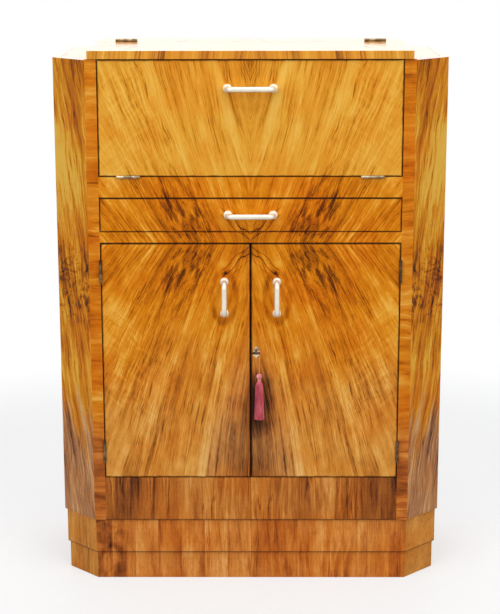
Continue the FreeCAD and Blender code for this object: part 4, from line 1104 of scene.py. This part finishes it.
def dovetails(shader, tone, side, level):
    """Joint of the drawer's sides and front: darker wedges between tails, with fine outlines."""
    inward = level - SIDE_LOW.y
    place = (side - SIDE_LOW.z) / TAIL_PITCH
    off = abs(place - shader.math("FLOOR", place) - 0.5) * TAIL_PITCH
    from_edge = off - ((TAIL_LENGTH - inward) * TAIL_SPREAD + TAIL_NECK)
    in_joint = inward.smooth(TAIL_LENGTH + CUT, TAIL_LENGTH - CUT)
    wedge = from_edge.smooth(-CUT, CUT) * in_joint * 0.2
    outline = abs(from_edge).smooth(0.0005, CUT) * in_joint * 0.4
    base = abs(inward - TAIL_LENGTH).smooth(0.0005, CUT) * 0.4
    return tone - (wedge + outline + base)


def make_plain_woods():
    plain = Figure(middle=0.5, bands=0.5, streaks=0.5, lines=0.35, veins=0.12, seed=71)
    for name, plane, *boards in CARCASS_BOARDS:
        straight_veneer(name, boards, PLAIN, plain, PLAIN_LEAN, plane=plane)
    pale = Figure(middle=0.55, bands=0.5, streaks=0.5, lines=0.35, veins=0.1, seed=81)
    for name, plane, joint, board in (
        ("drawer_boards", "yx", None, "drawer_bottom"),
        ("drawer_ends", "zx", None, "drawer_back"),
        ("drawer_flanks", "zy", dovetails, "drawer_sides"),
    ):
        straight_veneer(name, [board], PALE, pale, PLAIN_LEAN, extra=joint, plane=plane)


EDGE_RADIUS = 0.0009
WELD_DISTANCE = 0.00001
EDGE_DEGREES = 40


def soften_edges(*names):
    """Slightly rounded arrises on boards, as sanding and polishing leave them."""
    for name in names:
        weld = nodes[name].modifiers.new("weld", "WELD")
        weld.merge_threshold = WELD_DISTANCE
        bevel = nodes[name].modifiers.new("soft_edges", "BEVEL")
        bevel.width = EDGE_RADIUS
        bevel.segments = 2
        bevel.limit_method = "ANGLE"
        bevel.angle_limit = math.radians(EDGE_DEGREES)
        bevel.harden_normals = True


def metal(name, parts, colours, roughness, grime, scale=60.0, metallic=1.0):
    """Metal with cloudy tarnish and fine scratches."""
    shader = Shader(name)
    cloud = shader.noise(shader.space(scale, scale, scale), 4.0, 0.6)
    shader.set(base_color=shader.ramp(cloud.smooth(0.25, 0.75), palette(*colours)), metallic=metallic)
    shader.set(roughness=cloud.smooth(0.3, 0.7, roughness + grime, roughness))
    shader.bump(shader.noise(shader.space(900.0, 900.0, 2600.0)), 0.00004, 0.3)
    shader.cover(parts)
    return shader.material


def make_metals():
    fittings = (
        "lid_hinge_strip_leaves", "hinge_pins", "stay_guides", "lid_hinge_leaves", "lid_stays", "flap_stays",
        "lock_keep", "door_bolt_case", "door_bolt_rod", "lock_case", "lock_bolt",
    )
    aged = metal("aged_brass", fittings, ((82, 68, 52), (130, 112, 86), (186, 166, 134)), 0.32, 0.2)
    flap_leaves = ("flap_hinge_rail_leaves", "flap_hinge_leaves")
    metal("worn_brass", flap_leaves, ((108, 94, 74), (158, 142, 114), (214, 200, 172)), 0.3, 0.15)
    # Door hinge leaves: a darker copy of the aged brass, painting the shade they lie in
    door_leaves = ("door_hinge_stile_leaves", "left_door_hinge_leaves", "right_door_hinge_leaves")
    metal("brass_darkened_as_painted_shade", door_leaves, ((44, 34, 24), (84, 66, 46), (138, 114, 84)), 0.3, 0.2)
    pale = metal("pale_brass", ["escutcheon"], ((206, 188, 148), (232, 220, 190), (250, 244, 226)), 0.22, 0.1)
    metal("dark_brass", ["key"], ((46, 38, 30), (84, 72, 56), (128, 112, 88)), 0.3, 0.15)
    shadow = metal("slot_shadow", (), ((16, 12, 8), (26, 20, 14), (40, 32, 24)), 0.6, 0.2)
    ivory = ((230, 222, 202), (243, 236, 217), (252, 248, 232))
    plate = metal("polished_plate", HANDLES, ivory, 0.2, 0.06, 30.0, 0.4)
    silver = ((214, 220, 222), (226, 230, 232), (232, 236, 238))
    metal("silvered_glass", ["compartment_mirror"], silver, 0.02, 0.02, 8.0)
    make_hinge_screws(aged, shadow)
    for handle in HANDLES:
        make_handle(handle, plate)
    make_screws(aged)
    make_caps("escutcheon_pins", "escutcheon", "right_door", pale, PINS)
    make_caps("mirror_caps", "compartment_mirror", "cabinet", plate, CAPS)


# Studio
FLOOR_REACH = 9.0
AIR_LIGHT = 0.5
WHITE = (1, 1, 1, 1)
BLACK = (0, 0, 0, 1)
# Name, place, aim, size and power of each lamp
LAMPS = (
    ("lamp_left", (-2.2, -3.0, 2.5), (0, 0, 0.7), (3.0, 3.0), 49),
    ("lamp_right", (2.2, -3.0, 2.5), (0, 0, 0.7), (3.0, 3.0), 49),
    ("lamp_top", (0, -0.9, 3.2), (0, -0.1, 0.8), (1.8, 1.2), 22),
    ("lamp_behind", (0, 2.6, 3.4), (0, 0, 0.8), (3.0, 2.4), 42),
    ("lamp_low_behind", (0, 3.0, 1.7), (0, 0, 1.1), (4.0, 1.0), 5),
)


def seen_share(tree):
    """One for rays from the camera, a gloss or glass, and zero for light on the object."""
    rays = tree.nodes.new("ShaderNodeLightPath").outputs
    share = rays["Is Camera Ray"]
    for kind in ("Is Glossy Ray", "Is Transmission Ray"):
        most = tree.nodes.new("ShaderNodeMath")
        most.operation = "MAXIMUM"
        tree.links.new(share, most.inputs[0])
        tree.links.new(rays[kind], most.inputs[1])
        share = most.outputs[0]
    return share


def make_world():
    """White where it is seen, with plain softer light on the object."""
    world = bpy.data.worlds.new("studio_air")
    bpy.context.scene.world = world
    world.use_nodes = True
    tree = world.node_tree
    air = tree.nodes["Background"]
    white = tree.nodes.new("ShaderNodeBackground")
    for node, strength in ((air, AIR_LIGHT), (white, 1.0)):
        node.inputs["Color"].default_value = WHITE
        node.inputs["Strength"].default_value = strength
    mix = tree.nodes.new("ShaderNodeMixShader")
    for socket, output in zip(mix.inputs, (seen_share(tree), air.outputs[0], white.outputs[0])):
        tree.links.new(output, socket)
    tree.links.new(mix.outputs[0], tree.nodes["World Output"].inputs["Surface"])


def make_floor():
    """Paper that keeps the object's shadow near it and turns white further off."""
    mesh = bpy.data.meshes.new("studio_floor")
    edge = FLOOR_REACH
    corners = [(-edge, -edge, 0), (edge, -edge, 0), (edge, edge, 0), (-edge, edge, 0)]
    mesh.from_pydata(corners, [], [(0, 1, 2, 3)])
    floor = show(bpy.data.objects.new("studio_floor", mesh))
    shader = Shader("studio_paper")
    grain = shader.noise((shader.x * 40, shader.y * 40, 0.0), 3.0)
    near_colour = shader.ramp(grain, palette((166, 167, 168), (172, 173, 174)))
    far = shader.length(shader.x, shader.y).smooth(0.7, 2.6)
    shader.set(base_color=shader.mix(far, near_colour, BLACK), roughness=0.9, specular_ior_level=0.0)
    seen = Value(shader, seen_share(shader.tree))
    shader.set(emission_color=WHITE, emission_strength=seen * far.smooth(0.0, 1.0, 0.56, 1.0))
    mesh.materials.append(shader.material)


def make_lamps():
    for name, place, aim, size, power in LAMPS:
        data = bpy.data.lights.new(name, "AREA")
        data.shape = "RECTANGLE"
        data.size, data.size_y = size
        data.energy = power
        light = show(bpy.data.objects.new(name, data))
        light.location = place
        light.rotation_euler = (Vector(aim) - Vector(place)).to_track_quat("-Z", "Y").to_euler()
        light.visible_camera = False


bpy.context.scene.view_settings.view_transform = "Standard"
clear_default_scene()
make_camera()
make_tassel()
make_world()
make_floor()
make_lamps()
make_front_veneers()
make_body_veneers()
make_foot_veneers()
make_plain_woods()
make_metals()
soften_edges(*TOPS, "flap_panel", "drawer_front", "left_door_panel", "right_door_panel", *FRONTS, *CANTS)
